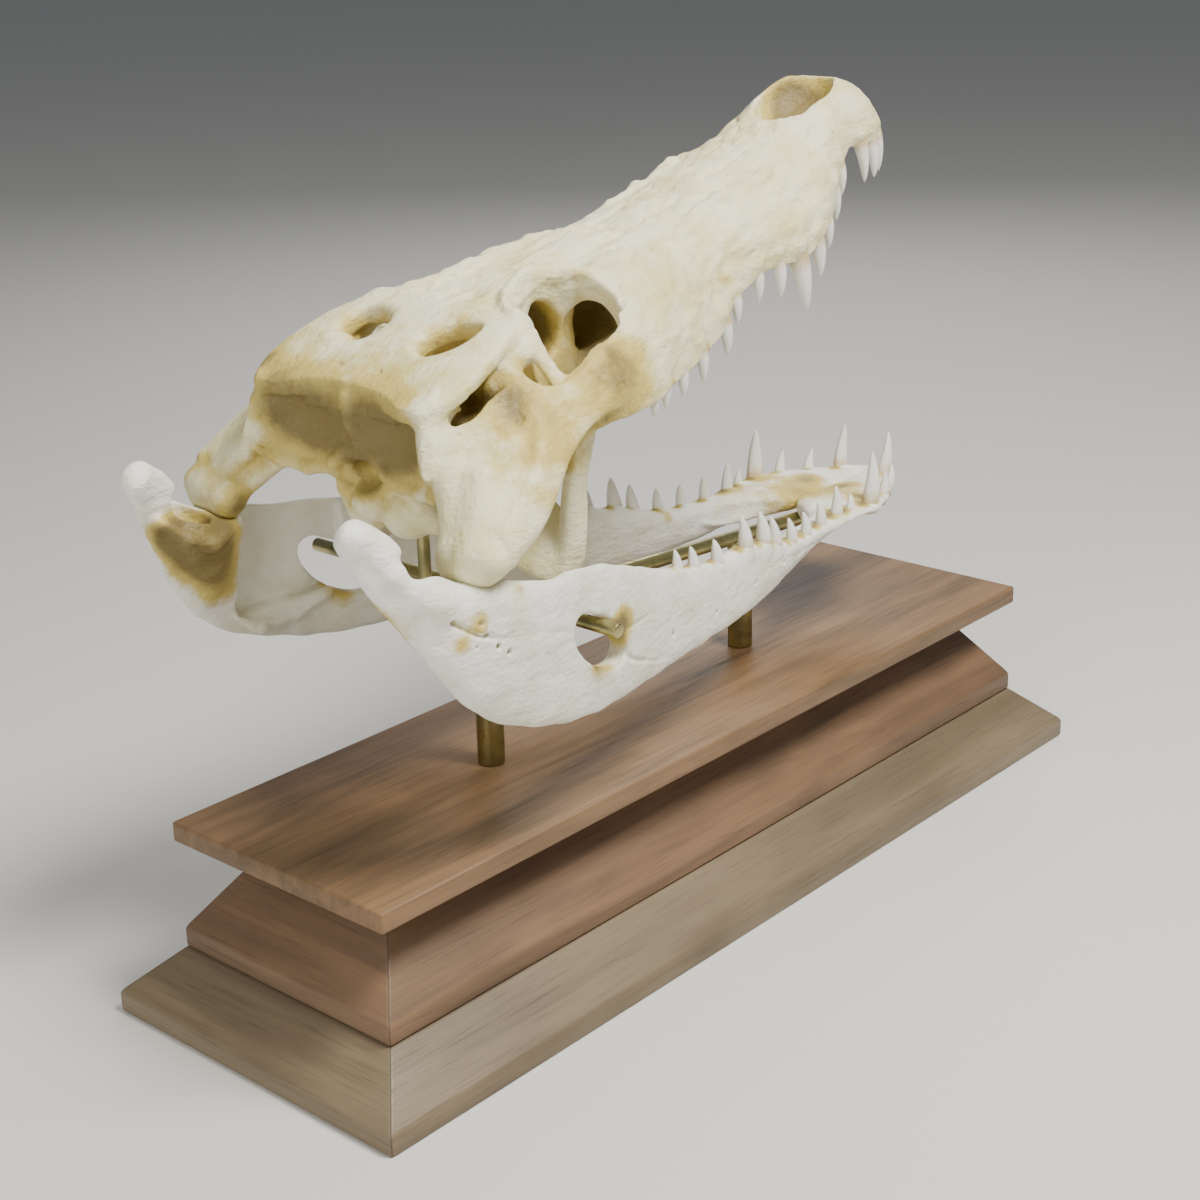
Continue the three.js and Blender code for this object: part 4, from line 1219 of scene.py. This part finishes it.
# %% [markdown]
# ## Colour and node helpers
# Every colour is written as a hex code, as a paint chart gives it, and turned into linear
# light once. One helper adds a shader node and wires its inputs. Real finishes are layers of
# colour over each other, so two more helpers mix patterns and lay a colour where they are
# strong.

# %% Helpers for materials
def colour(code):
    """A hex code as linear red, green and blue, with full cover."""
    parts = [int(code[k:k + 2], 16) / 255 for k in (1, 3, 5)]
    return [c / 12.92 if c <= 0.04045 else ((c + 0.055) / 1.055) ** 2.4 for c in parts] + [1.0]


def set_inputs(tree, node, inputs):
    """Wires a socket to each named input, or writes a plain value on it."""
    for key, value in inputs.items():
        if isinstance(value, bpy.types.NodeSocket):
            tree.links.new(value, node.inputs[key])
        else:
            node.inputs[key].default_value = value


def add_node(tree, kind, output, inputs=None, **settings):
    """Adds a shader node with its settings and inputs, and gives one of its outputs."""
    node = tree.nodes.new("ShaderNode" + kind)
    for key, value in settings.items():
        setattr(node, key, value)
    set_inputs(tree, node, inputs or {})
    return node.outputs[output]


def new_material(name):
    """A new material, its node tree and its main shader."""
    material = bpy.data.materials.new(name)
    material.use_nodes = True
    tree = material.node_tree
    return material, tree, tree.nodes["Principled BSDF"]


def weighted(tree, *patterns):
    """Adds up patterns, each with its own weight."""
    total = 0.0
    for pattern, weight in patterns:
        total = add_node(tree, "Math", 0, {0: pattern, 1: weight, 2: total},
                         operation="MULTIPLY_ADD")
    return total


def layer(tree, tone, pattern, low, high, code, strength=1.0, mode="MIX"):
    """Lays a colour over the tone, from where the pattern is low to where it is high."""
    share = add_node(tree, "MapRange", "Result",
                     {"Value": pattern, "From Min": low, "From Max": high},
                     interpolation_type="SMOOTHSTEP")
    share = weighted(tree, (share, strength))
    return add_node(tree, "Mix", 2, {0: share, 6: tone, 7: colour(code)},
                    data_type="RGBA", blend_type=mode)


print("material helpers are ready")

# %% [markdown]
# ## Bone
# Clean bone is a warm off-white with a dull sheen. Hollows and creases go ochre, partly as dust
# and partly as painted shade, and an attribute adds the yellow and olive stains and the painted
# shade on the back plate and behind the jaw joint. Pores half a millimetre wide and faint
# streaks break up the gloss, and light goes a little way in.

# %% Make the bone
def bone_material(name, pale, cream):
    material, tree, shader = new_material(name)
    place = add_node(tree, "TexCoord", "Object")
    soft = {"Vector": place, "Roughness": 0.55}
    broad = add_node(tree, "TexNoise", "Fac", {**soft, "Scale": 1 / 0.030, "Detail": 3.0})
    cloudy = add_node(tree, "TexNoise", "Fac", {**soft, "Scale": 1 / 0.009, "Detail": 4.0})
    fine = add_node(tree, "TexNoise", "Fac", {**soft, "Scale": 1 / 0.0022, "Detail": 3.0})
    pores = add_node(tree, "TexVoronoi", "Distance", {"Vector": place, "Scale": 1 / 0.0034})
    crease = add_node(tree, "Attribute", "Fac", attribute_name="crease")
    hollow = add_node(tree, "Attribute", "Fac", attribute_name="hollow")
    stain_and_shade = add_node(tree, "Attribute", "Fac", attribute_name="stain_and_shade")
    mottle = weighted(tree, (broad, 1.0), (cloudy, 0.4))
    dust_and_shade = weighted(tree, (crease, 1.4), (hollow, 1.6), (cloudy, 0.25))
    blotches_and_shade = weighted(tree, (stain_and_shade, 1.0), (broad, 0.45), (cloudy, 0.75), (fine, 0.22), (hollow, 0.5))
    speck = weighted(tree, (pores, -1.0), (cloudy, 0.5), (broad, 0.2))
    tone = layer(tree, colour(pale), mottle, 0.55, 0.95, cream)
    # Ochre in hollows and creases: dust, and painted shade where less light reaches.
    tone = layer(tree, tone, dust_and_shade, 0.20, 0.62, "#c6b885")
    # Yellow and olive stain patches, with painted shade on the back plate, behind the jaw joint and
    # in deep hollows.
    tone = layer(tree, tone, blotches_and_shade, 0.80, 1.25, "#cbb664")
    tone = layer(tree, tone, blotches_and_shade, 1.15, 1.95, "#7d6d3e")
    tone = layer(tree, tone, speck, 0.30, 0.42, "#b9a379", 0.35, "MULTIPLY")
    rough = add_node(tree, "MapRange", "Result",
                     {"Value": cloudy, "From Min": 0.3, "From Max": 0.7,
                      "To Min": 0.42, "To Max": 0.62},
                     interpolation_type="SMOOTHSTEP")
    # The creases run along the skull, so their pattern is turned up with it and drawn out.
    drawn = add_node(tree, "Mapping", "Vector",
                     {"Vector": place, "Rotation": (0, GAPE, 0), "Scale": (0.35, 1, 1)})
    creases = add_node(tree, "TexNoise", "Fac",
                       {"Vector": drawn, "Scale": 1 / 0.0032, "Detail": 5.0, "Roughness": 0.65})
    pitted = add_node(tree, "MapRange", "Result",
                      {"Value": speck, "From Min": 0.30, "From Max": 0.42},
                      interpolation_type="SMOOTHSTEP")
    height = weighted(tree, (fine, 0.4), (creases, 1.3), (cloudy, 0.8), (pitted, -0.5))
    normal = add_node(tree, "Bump", "Normal",
                      {"Height": height, "Strength": 0.85, "Distance": 0.0010})
    set_inputs(tree, shader, {
        "Base Color": tone, "Roughness": rough, "Normal": normal, "Subsurface Weight": 0.12,
        "Subsurface Radius": (1.0, 0.7, 0.45), "Subsurface Scale": 0.002,
    })
    return material


bone = bone_material("bone", "#ebe6c4", "#dbd092")
jaw_bone = bone_material("jaw bone", "#efefe6", "#e3dfc8")
print("bone materials:", bone.name, jaw_bone.name)

# %% [markdown]
# ## Enamel
# The teeth are whiter and glossier than bone, a little see-through at the tip, and stained
# where the gum held them. The crown attribute runs from the root to the tip.

# %% Make the enamel
enamel, tree, shader = new_material("enamel")
place = add_node(tree, "TexCoord", "Object")
crown = add_node(tree, "Attribute", "Fac", attribute_name="crown")
streak = add_node(tree, "TexNoise", "Fac",
                  {"Vector": place, "Scale": 1 / 0.003, "Detail": 2.0, "Roughness": 0.55})
gum_line = weighted(tree, (crown, 1.0), (streak, 0.3))
tone = layer(tree, colour("#cdb685"), gum_line, 0.30, 0.62, "#ecebe4")
normal = add_node(tree, "Bump", "Normal", {"Height": streak, "Strength": 0.3, "Distance": 0.0001})
set_inputs(tree, shader, {
    "Base Color": tone, "Roughness": 0.28, "Normal": normal, "Subsurface Weight": 0.2,
    "Subsurface Radius": (1.0, 0.8, 0.6), "Subsurface Scale": 0.0015,
})
print("enamel ready")

# %% [markdown]
# ## Brass
# Plain drawn brass that has been handled: it keeps its yellow metal colour, with dull olive
# patches about a centimetre wide. The real scratches are far finer than a millimetre, so they
# are drawn coarser, just enough to spread the highlight.

# %% Make the brass
brass, tree, shader = new_material("brass")
place = add_node(tree, "TexCoord", "Object")
patina = add_node(tree, "TexNoise", "Fac",
                  {"Vector": place, "Scale": 1 / 0.012, "Detail": 4.0, "Roughness": 0.55})
scratch = add_node(tree, "TexNoise", "Fac",
                   {"Vector": place, "Scale": 1 / 0.0008, "Detail": 3.0, "Roughness": 0.55})
tone = layer(tree, colour("#b4ab78"), patina, 0.35, 0.7, "#85805a")
rough = add_node(tree, "MapRange", "Result",
                 {"Value": patina, "From Min": 0.3, "From Max": 0.7,
                  "To Min": 0.26, "To Max": 0.46})
normal = add_node(tree, "Bump", "Normal",
                  {"Height": scratch, "Strength": 0.25, "Distance": 0.00005})
set_inputs(tree, shader, {
    "Base Color": tone, "Metallic": 1.0, "Roughness": rough, "Normal": normal,
})
print("brass ready")

# %% [markdown]
# ## Walnut
# Oiled walnut is dark, with the grain along each board, so its pattern is stretched many
# times along X. Broad bands of growth rings, thin dark pores and a soft cloudy tone lie over
# each other. Real pores are a fifth of a millimetre wide, too fine to show, so they are drawn
# a millimetre wide. Each board is cut from another plank, so each has its own shade.

# %% Turn the grain at the mitres
def mitred(tree, place, offset):
    """Turns the grain on the end pieces, and gives the distance to the mitre joint."""
    x, y, z = add_node(tree, "SeparateXYZ", "X", {"Vector": place}).node.outputs
    far_x = add_node(tree, "Math", 0, {0: x}, operation="ABSOLUTE")
    far_y = add_node(tree, "Math", 0, {0: y}, operation="ABSOLUTE")
    past = weighted(tree, (far_x, 1.0), (far_y, -1.0))
    past = add_node(tree, "Math", 0, {0: past, 1: offset}, operation="SUBTRACT")
    on_end = add_node(tree, "Math", 0, {0: past, 1: 0.0}, operation="GREATER_THAN")
    turned = add_node(tree, "CombineXYZ", "Vector", {"X": y, "Y": x, "Z": z})
    place = add_node(tree, "Mix", 2, {0: on_end, 6: place, 7: turned}, data_type="RGBA")
    return place, add_node(tree, "Math", 0, {0: past}, operation="ABSOLUTE")


print("mitre pattern ready")

# %% Make the walnut
def walnut_material(name, light, dark, shift, mitre=None):
    material, tree, shader = new_material(name)
    place = add_node(tree, "TexCoord", "Object")
    joint = None
    if mitre is not None:
        place, joint = mitred(tree, place, mitre)
    plank = add_node(tree, "Mapping", "Vector",
                     {"Vector": place, "Location": shift, "Scale": (0.10, 1.0, 1.0)})
    long_pores = add_node(tree, "Mapping", "Vector",
                          {"Vector": place, "Scale": (0.03, 1.0, 1.0)})
    warp = add_node(tree, "TexNoise", "Fac",
                    {"Vector": plank, "Scale": 1 / 0.030, "Detail": 2.0, "Roughness": 0.55})
    rings = add_node(tree, "TexNoise", "Fac",
                     {"Vector": plank, "Scale": 1 / 0.014, "Detail": 3.0, "Distortion": 1.0})
    fibres = add_node(tree, "TexNoise", "Fac",
                      {"Vector": long_pores, "Scale": 1 / 0.0010, "Detail": 3.0,
                       "Roughness": 0.6})
    cloud = add_node(tree, "TexNoise", "Fac",
                     {"Vector": place, "Scale": 1 / 0.090, "Detail": 2.0, "Roughness": 0.55})
    bands = weighted(tree, (rings, 0.6), (warp, 0.5), (cloud, 0.4))
    tone = layer(tree, colour(light), bands, 0.52, 0.98, dark)
    tone = layer(tree, tone, fibres, 0.50, 0.75, "#6a523a", 0.34, "MULTIPLY")
    if joint is not None:
        tone = layer(tree, tone, joint, 0.0005, 0.0001, "#2c2018", 0.75)
    rough = add_node(tree, "MapRange", "Result",
                     {"Value": fibres, "From Min": 0.3, "From Max": 0.7,
                      "To Min": 0.42, "To Max": 0.60})
    height = weighted(tree, (fibres, -1.0), (rings, 0.3))
    normal = add_node(tree, "Bump", "Normal",
                      {"Height": height, "Strength": 0.3, "Distance": 0.00015})
    set_inputs(tree, shader, {"Base Color": tone, "Roughness": rough, "Normal": normal})
    return material


walnut_top = walnut_material("walnut top", "#896a4a", "#5a472f", (0.0, 0.0, 0.0))
walnut_middle = walnut_material("walnut middle", "#84674c", "#5e4935", (0.3, 0.21, 0.1), 0.1655)
walnut_base = walnut_material("walnut base", "#7f7058", "#645743", (0.7, 0.4, 0.33), 0.1657)
print("three walnut planks ready")

# %% [markdown]
# ## Dressing the pieces
# Each finished piece gets its material, rides on the one body of this still model, and hides
# the solids that it stands for.

# %% Give out materials and places
def finish_piece(piece, material, slot, *nodes):
    """Gives a piece its material and body, and hides the solids it stands for."""
    piece.data.materials.clear()
    piece.data.materials.append(material)
    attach(piece, "root")
    if nodes:
        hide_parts(*nodes)


finish_piece(cranium, bone, "bone", "rostrum", "braincase", "cheek_left", "cheek_right")
finish_piece(upper_teeth, enamel, "bone")
finish_piece(jaw_left, jaw_bone, "bone", "mandible_left")
finish_piece(jaw_right, jaw_bone, "bone", "mandible_right")
finish_piece(lower_teeth, enamel, "bone")
rod_nodes = ("post_rear", "post_front", "rail", "rod_stem", "rod_cross", "rod_cranium")
for piece, node in zip(rods, rod_nodes):
    finish_piece(piece, brass, "brass", node)
finish_piece(plinth_base, walnut_base, "walnut", "plinth_bottom")
finish_piece(plinth_step, walnut_middle, "walnut", "plinth_middle")
finish_piece(plinth_board, walnut_top, "walnut", "plinth_top")
print("pieces dressed")

# %% [markdown]
# ## Floor and light
# A pale floor shows where the plinth stands. One soft light hangs high on the animal's right,
# a weaker one fills from behind it, and a third gives the far edges an outline.

# %% Lay the floor and hang the lights
bpy.ops.mesh.primitive_plane_add(size=14)
floor = settle(bpy.context.object, "floor")
floor_paint, tree, shader = new_material("floor paint")
set_inputs(tree, shader, {"Base Color": colour("#d9d7d2"), "Roughness": 0.8})
floor.data.materials.append(floor_paint)


def soft_light(name, place, target, size, power_watts, tint):
    """A round lamp that points at the target."""
    bpy.ops.object.light_add(type="AREA", location=place)
    light = bpy.context.object
    light.name = name
    light.data.shape = "DISK"
    light.data.size = size
    light.data.energy = power_watts
    light.data.color = colour(tint)[:3]
    light.rotation_euler = (Vector(target) - Vector(place)).to_track_quat("-Z", "Y").to_euler()
    return light


soft_light("key light", (0.05, -0.65, 1.30), (-0.02, 0, 0.2), 0.5, 31, "#fffbf4")
soft_light("fill light", (-1.5, -0.3, 0.8), (0, 0, 0.2), 1.0, 14, "#fbf8f0")
soft_light("edge light", (1.2, 0.9, 1.1), (0, 0, 0.25), 0.8, 8, "#ffffff")
world = bpy.data.worlds.new("studio")
bpy.context.scene.world = world
world.use_nodes = True
background = world.node_tree.nodes["Background"]
set_inputs(world.node_tree, background, {"Color": colour("#c8ccd2"), "Strength": 0.28})
print("floor and lights ready")
